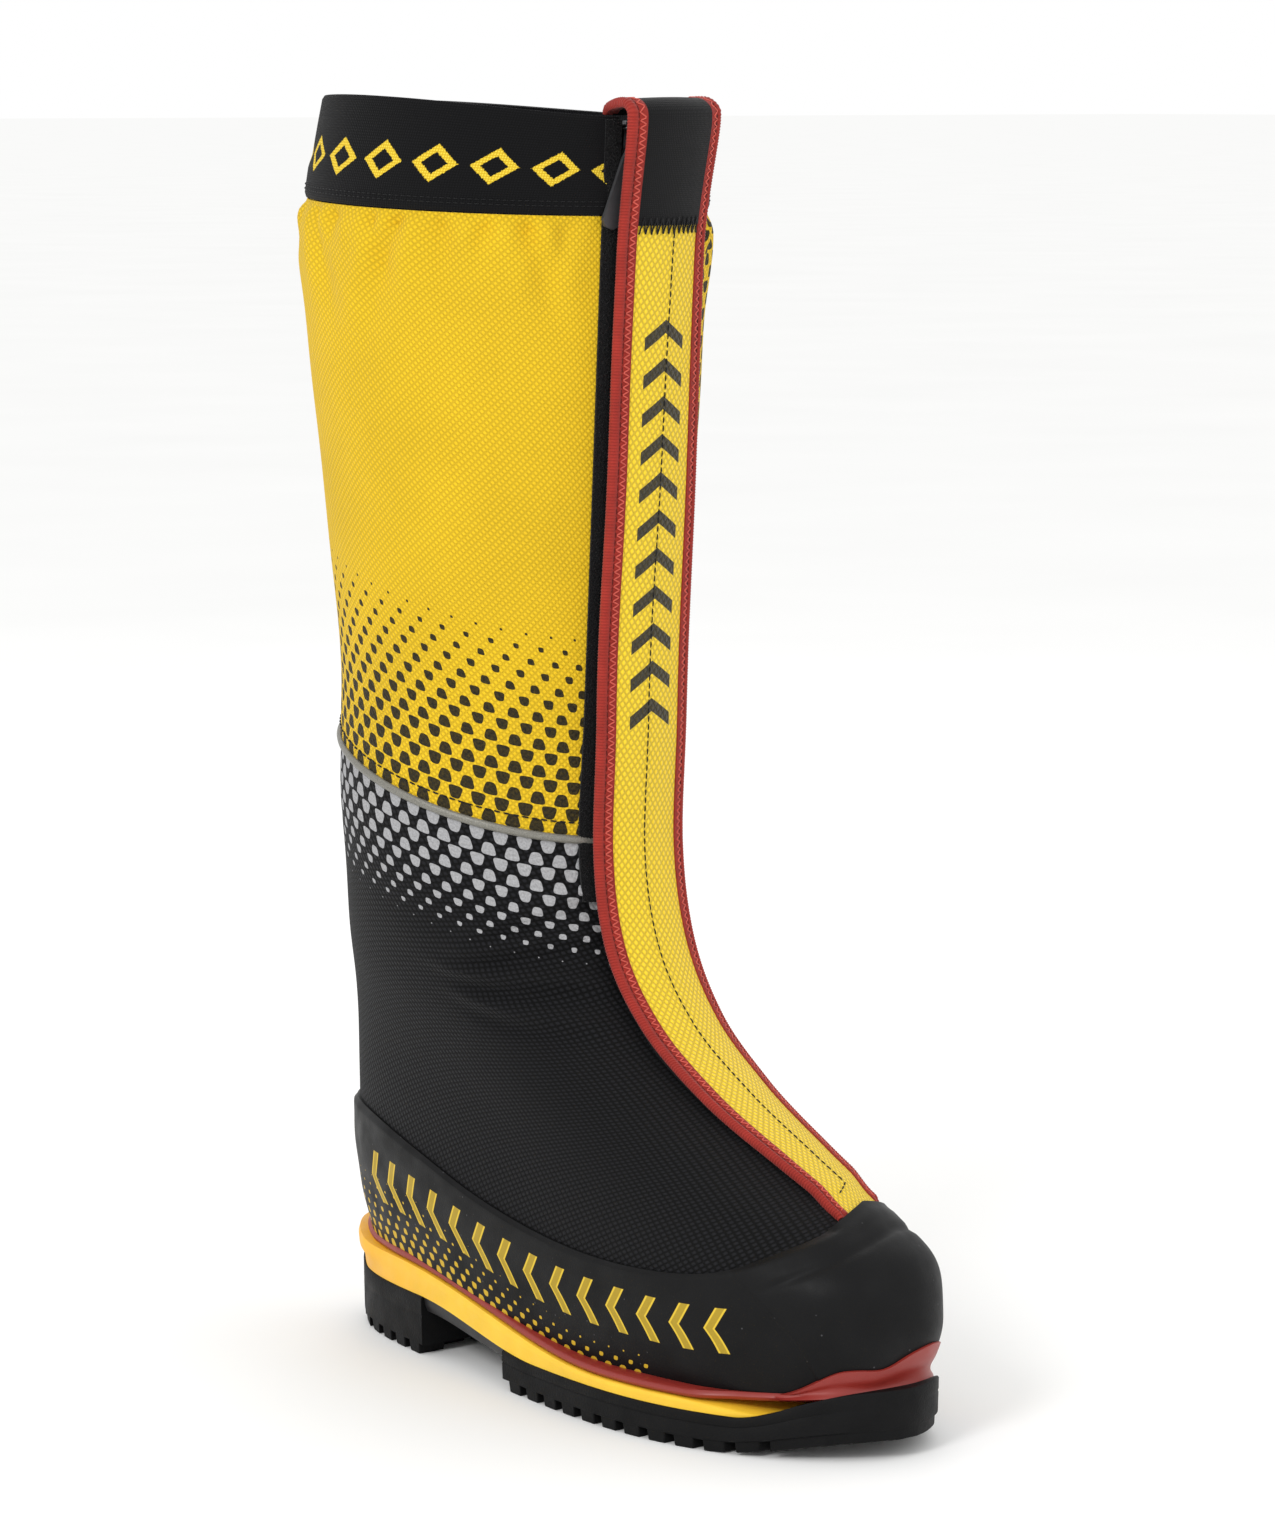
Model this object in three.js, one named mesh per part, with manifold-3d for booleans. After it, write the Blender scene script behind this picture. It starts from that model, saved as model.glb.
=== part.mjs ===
// A high-altitude double mountaineering boot for the right foot, in millimetres, +Z up.
// The toe points to -Y, the outer (lateral) side of the foot is -X, and the origin is on the
// ground under the middle of the boot's box.
//
// Everything above the sole is laid out on one skin, the outer face of the gaiter: skin(q, v, n).
// v runs up from the feather line (0) to the collar's top edge (1), q is the share of the way
// round from the ridge of the foot over the lateral side and the heel back to the ridge, and n is
// the distance out of the skin.  across(s, v, n) is the same with s in mm from the ridge.
import * as THREE from "three";
import Module from "manifold-3d";

const wasm = await Module();
wasm.setup();

// ---------------------------------------------------------------- driving dimensions
const soleLength = 324;
const ballWidth = 118;
const heelWidth = 86;
const toeBend = 9; // how far the toe lies to the medial side
const shaftScale = 1; // width of the shaft
const bootHeight = 513; // collar's top edge at the back
const collarSlope = 7; // how much lower it is at the front
const frontHeight = bootHeight - collarSlope;
const backHeight = bootHeight;
const shaftStart = 215; // height at which the shaft's straight front begins
const pipingFront = 220; // piping between the two gaiter cloths
const pipingBack = 262;
const linerFront = 318; // top of the inner boot
const linerBack = 340;
const cuffHeight = 38; // elastic band round the collar

const gap = 0.3; // between pieces that lie on each other
const soleGap = 0.5; // between the layers of the sole
const cloth = 1.5; // gaiter fabric
const randThick = 2.4;
const toeCapThick = 3;

const flapWidth = 45; // storm flap over its bindings
const bindingWidth = 7;
const flapLift = 6; // underside of the flap over the gaiter
const flapThick = 1.8;
const bindingThick = 2.8;

const zipPlace = 12; // zip's middle, lateral of the ridge
const zipTopClear = 3; // zip's end below the collar's edge
const zipTop = frontHeight - zipTopClear;
const zipBottom = 220;
const slitHalf = 7; // half the slit between the gaiter's edges
const chainPitch = 0.8; // zip's middle to the inner side of a chain
const chainWidth = 2.2;
const tapeWidth = 11;
const sliderHalf = 5.2;

// ---------------------------------------------------------------- the skin
const lerp = THREE.MathUtils.lerp;
const smooth = THREE.MathUtils.smoothstep;

// The shaft's front is a straight line, so that the zip can run on it.
const shaftShare = (z) => (z - shaftStart) / (frontHeight - shaftStart);
const shaftFront = (z) => lerp(3, -7, shaftShare(z));
const shaftRidge = (z) => lerp(6.5, 11, shaftShare(z));

const toeY = -soleLength / 2;
const heelY = soleLength / 2;

// Each level is a tilted ring: its front and back points (y, z), half widths of its front and
// back halves, how square its ends are (1 is an ellipse), and how far medial the ridge lies.
const foot = (frontY, frontZ, backY, backZ, frontHalf, backHalf, end, ridge) => ({
  frontY: frontY + toeY,
  frontZ,
  backY: backY + heelY,
  backZ,
  frontHalf: (frontHalf * ballWidth) / 118,
  backHalf: (backHalf * heelWidth) / 86,
  end,
  ridge,
});
const shaft = (frontZ, backY, backZ, half) => ({
  frontY: shaftFront(frontZ),
  frontZ,
  backY: lerp(75, backY, shaftScale),
  backZ,
  frontHalf: half * shaftScale,
  backHalf: half * shaftScale,
  end: 1,
  ridge: shaftRidge(frontZ),
});
// Heights at a share of the way up the shaft, at its front and its back.
const shaftZ = (share) => lerp(shaftStart, frontHeight, share);
const shaftBackZ = (share) => lerp(shaftStart + 28, backHeight, share);
const levels = [
  foot(11, 26, -9, 44, 51, 38, 0.8, 9),
  foot(4, 48, -4, 62, 55, 41, 0.78, 9),
  foot(11, 69, -1, 82, 55, 44, 0.8, 9),
  foot(30, 86, 0, 102, 52, 45, 0.84, 9),
  foot(62, 103, -1, 124, 50, 47, 0.88, 8),
  foot(99, 122, -3, 150, 50, 51, 0.92, 8),
  foot(132, 144, -7, 178, 54, 58, 0.96, 7),
  foot(154, 174, -12, 208, 60, 64, 1, 6),
  shaft(shaftZ(0), 147, shaftBackZ(0), 67),
  shaft(shaftZ(0.19), 145, shaftBackZ(0.15), 69),
  shaft(shaftZ(0.41), 149, shaftBackZ(0.36), 74),
  shaft(shaftZ(0.64), 155, shaftBackZ(0.6), 78),
  shaft(shaftZ(0.86), 157, shaftBackZ(0.84), 80),
  shaft(shaftZ(1), 146, shaftBackZ(1), 77),
];

// The feather line, where the upper meets the sole, dips at the ball and rises to the heel.
const ballFeather = 22.5;
const heelFeather = 40;
const feather = (y) =>
  ballFeather +
  3.5 * smooth(-y / soleLength, 0.28, 0.5) +
  (heelFeather - ballFeather) * smooth(y / soleLength, -0.16, 0.32) +
  4 * smooth(y / soleLength, 0.4, 0.5);

// Catmull-Rom between the rows of a table; x runs from 0 to 1 over the whole table.
function between(values, x) {
  const last = values.length - 1;
  const place = Math.min(Math.max(x, 0), 1) * last;
  const i = Math.min(Math.floor(place), last - 1);
  const t = place - i;
  const [a, b, c, d] = [i - 1, i, i + 1, i + 2].map((k) => values[Math.min(Math.max(k, 0), last)]);
  const slopeIn = (c - a) / 2;
  const slopeOut = (d - b) / 2;
  return b + slopeIn * t + (3 * (c - b) - 2 * slopeIn - slopeOut) * t ** 2 + (2 * (b - c) + slopeIn + slopeOut) * t ** 3;
}

const toeOffset = (y) => toeBend * (Math.max(0, -y) / (soleLength / 2)) ** 2;

const ringSteps = 480;
const rings = new Map();

// The ring at v: points from the ridge round over the lateral side, and the way to each.
function ring(v) {
  const key = v.toFixed(7);
  if (rings.has(key)) return rings.get(key);
  const at = (name) => between(levels.map((level) => level[name]), v);
  const [frontY, frontZ, backY, backZ] = ["frontY", "frontZ", "backY", "backZ"].map(at);
  const end = at("end");
  const bent = (c) => Math.sign(c) * Math.abs(c) ** end;
  const half = (backY - frontY) / 2;
  const start = Math.asin(at("ridge") / at("frontHalf"));
  const fade = 1 - smooth(v * (levels.length - 1), 0, 4);
  const points = [];
  for (let k = 0; k <= ringSteps; k++) {
    const a = start - (2 * Math.PI * k) / ringSteps;
    const width = lerp(at("backHalf"), at("frontHalf"), (1 + Math.cos(a)) / 2);
    const y = frontY + half - half * bent(Math.cos(a));
    const plane = frontZ + ((backZ - frontZ) * (y - frontY)) / (2 * half);
    const first = lerp(levels[0].frontZ, levels[0].backZ, (y - toeY - 11) / (soleLength - 20));
    const z = plane + fade * (feather(y) + gap - first);
    points.push(new THREE.Vector3(width * bent(Math.sin(a)) + toeOffset(y) * (1 - smooth(v, 0.3, 0.55)), y, z));
  }
  const along = [0];
  for (let k = 1; k < points.length; k++) along.push(along[k - 1] + points[k].distanceTo(points[k - 1]));
  const made = { points, along, length: along.at(-1) };
  rings.set(key, made);
  return made;
}

function surface(q, v) {
  const { points, along, length } = ring(v);
  const want = (q - Math.floor(q)) * length;
  let low = 0;
  let high = along.length - 1;
  while (high - low > 1) {
    const middle = (low + high) >> 1;
    if (along[middle] <= want) low = middle;
    else high = middle;
  }
  return points[low].clone().lerp(points[high], (want - along[low]) / (along[high] - along[low]));
}

function skin(q, v, n = 0) {
  const point = surface(q, v);
  const round = surface(q + 0.006, v).sub(surface(q - 0.006, v));
  const rise = surface(q, Math.min(v + 0.004, 1)).sub(surface(q, Math.max(v - 0.004, 0)));
  return point.addScaledVector(rise.cross(round).normalize(), n);
}

const across = (s, v, n) => skin(s / ring(v).length, v, n);

// The v at which the meridian q reaches height z.
function rise(q, z) {
  let low = 0;
  let high = 1;
  for (let k = 0; k < 22; k++) {
    const middle = (low + high) / 2;
    if (surface(q, middle).z < z) low = middle;
    else high = middle;
  }
  return (low + high) / 2;
}

// ---------------------------------------------------------------- shapes
const value = (f, x) => (typeof f === "function" ? f(x) : f);
const boot = new THREE.Group();

function add(name, geometry, color, roughness = 0.9, metalness = 0) {
  const mesh = new THREE.Mesh(geometry, new THREE.MeshStandardMaterial({ color, roughness, metalness }));
  mesh.name = name;
  boot.add(mesh);
}

function geometryOf(points, index) {
  const geometry = new THREE.BufferGeometry().setFromPoints(points);
  geometry.setIndex(index);
  return geometry;
}

// A closed shell between two sheets of grid points: place(i, j, side) is the point of column i
// and row j on side 0 (outer) or 1 (inner).  With loop the last column meets the first, and
// hole(i, j) leaves the cell after column i and row j out.
function shell(columns, rows, place, { loop = false, hole = () => false } = {}) {
  const cellColumns = loop ? columns : columns - 1;
  const isCell = (i, j) => {
    if (j < 0 || j >= rows - 1 || (!loop && (i < 0 || i >= cellColumns))) return false;
    return !hole((i + columns) % columns, j);
  };
  const points = [];
  for (let side = 0; side < 2; side++)
    for (let j = 0; j < rows; j++) for (let i = 0; i < columns; i++) points.push(place(i, j, side));
  const at = (i, j, side) => (side * rows + j) * columns + ((i + columns) % columns);
  const index = [];
  const quad = (a, b, c, d) => index.push(a, b, c, a, c, d);
  for (let j = 0; j < rows - 1; j++)
    for (let i = 0; i < cellColumns; i++) {
      if (!isCell(i, j)) continue;
      quad(at(i, j, 0), at(i, j + 1, 0), at(i + 1, j + 1, 0), at(i + 1, j, 0));
      quad(at(i, j, 1), at(i + 1, j, 1), at(i + 1, j + 1, 1), at(i, j + 1, 1));
      if (!isCell(i, j - 1)) quad(at(i, j, 0), at(i + 1, j, 0), at(i + 1, j, 1), at(i, j, 1));
      if (!isCell(i, j + 1))
        quad(at(i, j + 1, 0), at(i, j + 1, 1), at(i + 1, j + 1, 1), at(i + 1, j + 1, 0));
      if (!isCell(i - 1, j)) quad(at(i, j, 0), at(i, j, 1), at(i, j + 1, 1), at(i, j + 1, 0));
      if (!isCell(i + 1, j))
        quad(at(i + 1, j, 0), at(i + 1, j + 1, 0), at(i + 1, j + 1, 1), at(i + 1, j, 1));
    }
  return geometryOf(points, index);
}

// A strip of the skin between the ways s0 and s1 from the ridge and the heights v0 and v1, from
// n0 to n1 out of the skin.  Any of them may be a function of the row's v (or of s for v0, v1).
function strip({ s0, s1, v0, v1, n0, n1, columns = 4, rows = 12 }) {
  return shell(columns, rows, (i, j, side) => {
    const v = lerp(v0, v1, j / (rows - 1));
    const s = lerp(value(s0, v), value(s1, v), i / (columns - 1));
    return across(s, v, side ? value(n0, v) : value(n1, v));
  });
}

// A loft along Y: ys are the stations, section(y) a convex outline of [x, z] points, seen from
// the toe and running anticlockwise.
function loft(ys, section) {
  const sections = ys.map((y) => section(y).map(([x, z]) => new THREE.Vector3(x, y, z)));
  const count = sections[0].length;
  const index = [];
  for (let j = 0; j < ys.length - 1; j++)
    for (let i = 0; i < count; i++) {
      const a = j * count + i;
      const b = j * count + ((i + 1) % count);
      index.push(a, a + count, b, b, a + count, b + count);
    }
  const last = (ys.length - 1) * count;
  for (let i = 1; i < count - 1; i++) {
    index.push(0, i, i + 1);
    index.push(last, last + i + 1, last + i);
  }
  return geometryOf(sections.flat(), index);
}

function solid(geometry) {
  const positions = geometry.attributes.position.array;
  const mesh = new wasm.Mesh({
    numProp: 3,
    vertProperties: new Float32Array(positions),
    triVerts: new Uint32Array(geometry.index.array),
  });
  mesh.merge();
  return new wasm.Manifold(mesh);
}

function fromSolid(manifold) {
  const { vertProperties, triVerts } = manifold.getMesh();
  const geometry = new THREE.BufferGeometry();
  geometry.setAttribute("position", new THREE.BufferAttribute(vertProperties, 3));
  geometry.setIndex(new THREE.BufferAttribute(triVerts, 1));
  return geometry;
}

function block(x0, x1, y0, y1, z0, z1) {
  const box = new THREE.BoxGeometry(x1 - x0, y1 - y0, z1 - z0);
  return solid(box.translate((x0 + x1) / 2, (y0 + y1) / 2, (z0 + z1) / 2));
}

// ---------------------------------------------------------------- sole unit
// Half the sole's width at y, with grow added all round.
function soleHalf(y, grow = 0) {
  const along = Math.min(Math.abs(y) / (soleLength / 2 + grow), 1);
  const wide = lerp(ballWidth, heelWidth, smooth(y / soleLength, -0.3, 0.36)) / 2 + grow;
  const round = (1 - along ** (y < 0 ? 3.2 : 4)) ** 0.55;
  return Math.max(wide * round, 4);
}
const soleSteps = 36;
const soleYs = Array.from({ length: soleSteps + 1 }, (_, k) => {
  const t = k / soleSteps;
  return lerp(toeY, heelY, lerp(t, (1 - Math.cos(Math.PI * t)) / 2, 0.8));
});
const stations = (from, to) => [from, ...soleYs.filter((y) => y > from + 1.5 && y < to - 1.5), to];
// A layer of the sole between the heights low(y) and high(y); under is how far its lower edge
// is drawn in.
function layer({ from, to, grow = 0, slim = 0, low, high, under = 0 }) {
  return loft(stations(from, to), (y) => {
    const half = Math.max(soleHalf(y, grow) - value(slim, y), 3);
    const inner = Math.max(half - under, 2);
    const x = toeOffset(y);
    return [
      [x - inner, low(y)],
      [x + inner, low(y)],
      [x + half, lerp(low(y), high(y), 0.35)],
      [x + half, high(y)],
      [x - half, high(y)],
      [x - half, lerp(low(y), high(y), 0.35)],
    ];
  });
}

const toeSpring = (y) => 8 * smooth(-y / soleLength, 0.3, 0.5) ** 1.4;
const frameThick = 3;
const tread = 15; // top of the forefoot rubber
const heelBlock = 25; // top of the heel rubber
const heelStart = 80;
const forefootEnd = 14;
const archLow = 12.5;

const frameLow = (y) => feather(y) - frameThick;
const rubberTop = (y) =>
  tread +
  (heelBlock - tread) * smooth(y / soleLength, -0.02, 0.26) +
  6 * smooth(y / soleLength, 0.42, 0.5) +
  7 * smooth(-y / soleLength, 0.36, 0.47);

add("midsole_frame", layer({
  from: toeY + 6, to: heelY - 2, grow: -1.5, low: frameLow, high: feather,
}), 0x96322a, 0.5);
add("midsole", layer({
  from: toeY + 26, to: heelY - 2.5, grow: -2.5,
  low: (y) => rubberTop(y) + soleGap,
  high: (y) => Math.max(frameLow(y) - soleGap, rubberTop(y) + soleGap + 0.6),
}), 0xf0be32, 0.6);

// Tread: side cuts between the lugs, a channel down the middle and chamfers at the ends.
function tread3(body, y0, y1, pitch, depth) {
  let cut = body;
  const count = Math.round((y1 - y0) / pitch);
  for (let k = 1; k < count; k++) {
    const y = lerp(y0, y1, k / count);
    const inner = k % 2 ? 8 : 15;
    const base = toeSpring(y);
    for (const side of [-1, 1]) {
      const x0 = toeOffset(y) + side * inner;
      const x1 = toeOffset(y) + side * 80;
      cut = cut.subtract(block(Math.min(x0, x1), Math.max(x0, x1), y - 1.9, y + 1.9, base - 10, base + depth));
    }
  }
  return cut;
}
const forefoot = solid(layer({
  from: toeY, to: forefootEnd, low: toeSpring, high: rubberTop, under: 2.5,
}));
const lugPitch = 12.5;
add("forefoot_outsole", fromSolid(
  tread3(forefoot, toeY + 26, forefootEnd, lugPitch, 5)
    .subtract(block(-4, 4, toeY + 40, forefootEnd - 8, -1, 3.5)),
), 0x1c1c1e, 0.8);
const heel = solid(layer({
  from: heelStart, to: heelY,
  low: (y) => 5 * smooth(y / soleLength, 0.42, 0.5), high: rubberTop, under: 2,
}));
add("heel_outsole", fromSolid(
  tread3(heel, heelStart, heelY - 12, lugPitch + 3, 5).subtract(block(-5, 5, heelStart + 14, heelY - 26, -1, 3.5)),
), 0x1c1c1e, 0.8);
add("arch_plate", layer({
  from: forefootEnd + gap, to: heelStart - gap, grow: -3,
  low: (y) => archLow + 6 * smooth(y / soleLength, 0.04, 0.24), high: rubberTop,
}), 0x202022, 0.6);

// ---------------------------------------------------------------- upper
// Height of the rand's top edge, from the toe's ridge round to the heel in equal shares.
const randHeights = [90, 80, 68, 65, 68, 76, 87, 95, 97];
const fold = (q) => Math.min(q - Math.floor(q), 1 - (q - Math.floor(q))) * 2;
const randTop = (q) => rise(q, between(randHeights, fold(q)));
const pipeTop = (q) => rise(q, lerp(pipingFront, pipingBack, (1 - Math.cos(Math.PI * fold(q))) / 2));
const cuffLow = (q) => rise(q, lerp(frontHeight, backHeight, (1 - Math.cos(Math.PI * fold(q))) / 2) - cuffHeight);

const slit = [zipPlace - slitHalf, zipPlace + slitHalf];

// Everything that wraps the foot and leg shares these columns, so that layers stay parallel.
const columns = 36;
function columnQ(i, v) {
  const length = ring(v).length;
  const turns = Math.floor(i / columns);
  const k = i - turns * columns;
  const at = (n) => (n < columns ? lerp(slit[1] / length, 1 + slit[0] / length, n / (columns - 1)) : 1 + slit[1] / length);
  return turns + lerp(at(Math.floor(k)), at(Math.floor(k) + 1), k - Math.floor(k));
}
const onSole = (point, v) => {
  if (v === 0) point.z = feather(point.y) + soleGap;
  return point;
};

// A piece that wraps the leg between the heights levelAt(q, 0) and levelAt(q, rows - 1), from n0
// to n1 out of the skin.  Above slitFrom it is open along the zip.
function wrap({ rows, levelAt, n0, n1, slitFrom = 0 }) {
  const slitRow = Array.from({ length: rows }, (_, j) => levelAt(0, j) >= slitFrom);
  return shell(
    columns,
    rows,
    (i, j, side) => {
      let q = i / columns;
      let v = levelAt(q, j);
      for (let pass = 0; pass < 3; pass++) {
        q = columnQ(i, v);
        v = levelAt(q, j);
      }
      return onSole(skin(q, v, side ? n0 : n1), v);
    },
    { loop: true, hole: (i, j) => i === columns - 1 && slitRow[j] },
  );
}
const straight = (rows, bottom, top) => (q, j) => lerp(bottom(q), top(q), j / (rows - 1));

// Rows of the lower gaiter: those under the rubber, then those above it.
const rubberRows = 7;
const clothRows = 8;
const pipeHalf = 0.0014;
const lowerRow = (q, j) => {
  if (j < rubberRows) return (randTop(q) * j) / (rubberRows - 1);
  return lerp(randTop(q), pipeTop(q) - pipeHalf - 0.0008, (j - rubberRows + 1) / clothRows);
};
const slitV = rise(0.02, zipBottom - 36);
add("lower_gaiter", wrap({
  rows: rubberRows + clothRows, levelAt: lowerRow, n0: -cloth, n1: 0, slitFrom: slitV,
}), 0x1d1d20);
add("upper_gaiter", wrap({
  rows: 8, levelAt: straight(8, (q) => pipeTop(q) + pipeHalf + 0.0008, (q) => cuffLow(q) - 0.0006), n0: -cloth, n1: 0,
}), 0xf2c81e);
add("cuff_band", wrap({
  rows: 3, levelAt: straight(3, (q) => cuffLow(q) + 0.0006, () => 1), n0: -cloth, n1: 0,
}), 0x161618);
add("reflective_piping", wrap({
  rows: 2, levelAt: straight(2, (q) => pipeTop(q) - pipeHalf, (q) => pipeTop(q) + pipeHalf), n0: -cloth, n1: 0.5,
}), 0x6e6c66, 0.5);

// Rubber round the foot: the rand, the cap over the toe between its ends, and the red welt under
// the cap that a crampon's toe bail grips.  All lie on the lower gaiter's own rows and columns.
const capColumn = 3; // columns from the ridge to the toe cap's side seam
const seamShare = 0.02;
const weltRow = 2;
const weltColumn = 2;
function rubber(first, last, rowFrom, rowTo, thickAt, hole) {
  const ends = [first + seamShare, ...Array.from({ length: last - first - 1 }, (_, k) => first + 1 + k), last - seamShare];
  const rows = rowTo - rowFrom + 1;
  return shell(ends.length, rows, (k, row, side) => {
    const i = ends[k];
    const up = Math.min(Math.max(rowFrom + row, rowFrom + (rowFrom ? seamShare : 0)), rowTo);
    const j = row === rows - 1 && rowTo < rubberRows - 1 ? rowTo - seamShare : up;
    let q = i / columns;
    let v = 0;
    for (let pass = 0; pass < 3; pass++) {
      v = (randTop(q) * j) / (rubberRows - 1);
      q = columnQ(i, v);
    }
    return onSole(skin(q, v, side ? gap : gap + thickAt(j)), v);
  }, { hole: (k, row) => hole !== undefined && hole(ends[k], row) });
}
add("side_rand", rubber(capColumn, columns - 1 - capColumn, 0, rubberRows - 1, () => randThick), 0x232325, 0.55);
const overWelt = (i, row) => i >= -weltColumn && i < weltColumn && row < weltRow;
add("toe_cap", rubber(-capColumn, capColumn, 0, rubberRows - 1, () => toeCapThick, overWelt), 0x232325, 0.5);
const weltThick = 4.2;
add("toe_welt", rubber(-weltColumn, weltColumn, 0, weltRow, (j) => (j === 1 ? weltThick - 1.6 : weltThick)), 0x96322a, 0.5);

// ---------------------------------------------------------------- closure
const flapHalf = flapWidth / 2;
const clothHalf = flapHalf - bindingWidth;
const flapTopN = flapLift + flapThick;
const bindLow = flapLift + (flapThick - bindingThick) / 2;
const bindHigh = bindLow + bindingThick;
const flapEnd = rise(0, randHeights[0]) + 0.004; // at the toe cap's edge
const flapSplit = rise(0, shaftStart - 1); // the straight, opening part lies above
const tabSplit = rise(0, frontHeight - cuffHeight - 2);
const part = 0.0009; // half a gap along v between the pieces of the flap

// The flap narrows and comes down on the gaiter towards the toe.
const narrow = (v) => lerp(0.76, 1, smooth(v, flapEnd, flapEnd + 0.16));
const settle = (v) => lerp(-flapLift + 1.8, 0, smooth(v, flapEnd, flapSplit - 0.04));
const flapPiece = (name, s0, s1, v0, v1, n0, n1, rows, columns, color) =>
  add(name, strip({
    s0: (v) => s0 * narrow(v), s1: (v) => s1 * narrow(v), v0, v1,
    n0: (v) => n0 + settle(v), n1: (v) => n1 + settle(v), rows, columns,
  }), color);
const flapYellow = 0xf2c81e;
const bindingRed = 0xb0342c;
flapPiece("flap_lower", -clothHalf, clothHalf, flapEnd, flapSplit - part, flapLift, flapTopN, 17, 5, flapYellow);
flapPiece("flap_upper", -clothHalf, clothHalf, flapSplit + part, tabSplit - part, flapLift, flapTopN, 9, 5, flapYellow);
for (const [side, from, to] of [["lateral", clothHalf + gap, flapHalf], ["medial", -flapHalf, -clothHalf - gap]])
  flapPiece("binding_lower_" + side, from, to, flapEnd, flapSplit - part, bindLow, bindHigh, 17, 3, bindingRed);

// The flap's top turns over the collar: steps of a path (v, height over the collar, n) for the
// outer face and the inner face, with the inner end level with the collar's edge.
const turnHigh = 6.5;
const turnFlare = 6; // how far the tab stands off the collar at its top
function turned(s0, s1, v0, low, high, columns, rows) {
  const thick = high - low;
  const outer = [[0, high], [turnHigh - 3, high], [turnHigh, high - 3], [turnHigh, -4], [turnHigh - 2.5, -6.5], [1, -6.5]];
  const inner = outer.map(([z, n], k) => {
    const dz = [0, 0, -thick, -thick, 0, 0][k];
    const dn = [-thick, -thick, -thick * 0.55, thick * 0.4, thick, thick][k];
    return [k === 2 ? z - thick * 0.75 : z + dz, n + dn];
  });
  return shell(columns, rows + outer.length - 1, (i, j, side) => {
    const v = lerp(v0, 1, Math.min(j / (rows - 1), 1));
    const s = lerp(s0, s1, i / (columns - 1));
    const [z, n] = (side ? inner : outer)[Math.max(j - rows + 1, 0)];
    const flare = j - rows + 1 < 4 ? turnFlare * smooth(v, tabSplit - 0.02, 1) : 0;
    const point = across(s, v, n + flare);
    point.z += z;
    return point;
  });
}
add("collar_tab", turned(-clothHalf, clothHalf, tabSplit + part, flapLift, flapTopN, 5, 4), 0x1b1b1d);
for (const [side, from, to] of [["lateral", clothHalf + gap, flapHalf], ["medial", -flapHalf, -clothHalf - gap]])
  add("binding_upper_" + side, turned(from, to, flapSplit + part, bindLow, bindHigh, 3, 12), bindingRed);

// The flap's medial side is sewn to the gaiter through a web under its binding.
const webTop = (v) => bindLow + settle(v) - gap;
add("flap_web", strip({
  s0: (v) => -flapHalf * narrow(v), s1: (v) => (-flapHalf + 5) * narrow(v), v0: flapEnd, v1: 1,
  n0: 0.9, n1: webTop, rows: 26, columns: 2,
}), 0x1b1b1d);

// Hook-and-loop strips: loops on the gaiter beside the zip, hooks under the flap's free edge.
const stripLow = rise(0.03, 226);
const stripHigh = 0.998;
add("loop_strip", strip({ s0: zipPlace + sliderHalf + 1, s1: flapHalf + 5, v0: stripLow, v1: stripHigh, n0: gap, n1: 1.4, rows: 14, columns: 4 }), 0x111112);
add("hook_strip", strip({
  s0: clothHalf - 6, s1: clothHalf - 0.5, v0: stripLow, v1: tabSplit - part,
  n0: flapLift - gap - 1, n1: flapLift - gap, rows: 10, columns: 2,
}), 0x111112);

// Zip: tapes under the gaiter's edges, a chain on each, stops, and a slider with a pull.
const zipV0 = rise(0.02, zipBottom);
const zipV1 = rise(0.02, zipTop);
const tapeLow = -3.3;
const tapeHigh = -2.1;
const chainLow = -3.7;
const chainHigh = -0.9;
const chainIn = chainPitch;
const chainOut = chainPitch + chainWidth;
for (const [side, sign] of [["lateral", 1], ["medial", -1]]) {
  const from = (d) => zipPlace + sign * d;
  const [tapeA, tapeB] = [from(chainOut + gap), from(chainOut + gap + tapeWidth)].sort((a, b) => a - b);
  const [chainA, chainB] = [from(chainIn), from(chainOut)].sort((a, b) => a - b);
  add("zip_tape_" + side, strip({ s0: tapeA, s1: tapeB, v0: zipV0, v1: zipV1, n0: tapeLow, n1: tapeHigh, rows: 12, columns: 3 }), 0x202022);
  add("zip_chain_" + side, strip({ s0: chainA, s1: chainB, v0: zipV0, v1: zipV1, n0: chainLow, n1: chainHigh, rows: 12, columns: 2 }), 0x2a2a2c, 0.5);
}

// Stops: one on each tape above the slider, one across both below it.
const stopLength = 0.005;
for (const [side, sign] of [["lateral", 1], ["medial", -1]]) {
  const [a, b] = [zipPlace + sign * chainIn, zipPlace + sign * chainOut].sort((m, n) => m - n);
  add("zip_stop_" + side, strip({
    s0: a, s1: b, v0: zipV1 + 0.001, v1: zipV1 + stopLength, n0: tapeLow, n1: chainHigh, rows: 2, columns: 2,
  }), 0x8a8a8c, 0.4, 0.8);
}
add("zip_stop_bottom", strip({
  s0: zipPlace - chainOut, s1: zipPlace + chainOut, v0: zipV0 - stopLength, v1: zipV0 - 0.001,
  n0: chainLow, n1: chainHigh, rows: 2, columns: 2,
}), 0x8a8a8c, 0.4, 0.8);

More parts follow.
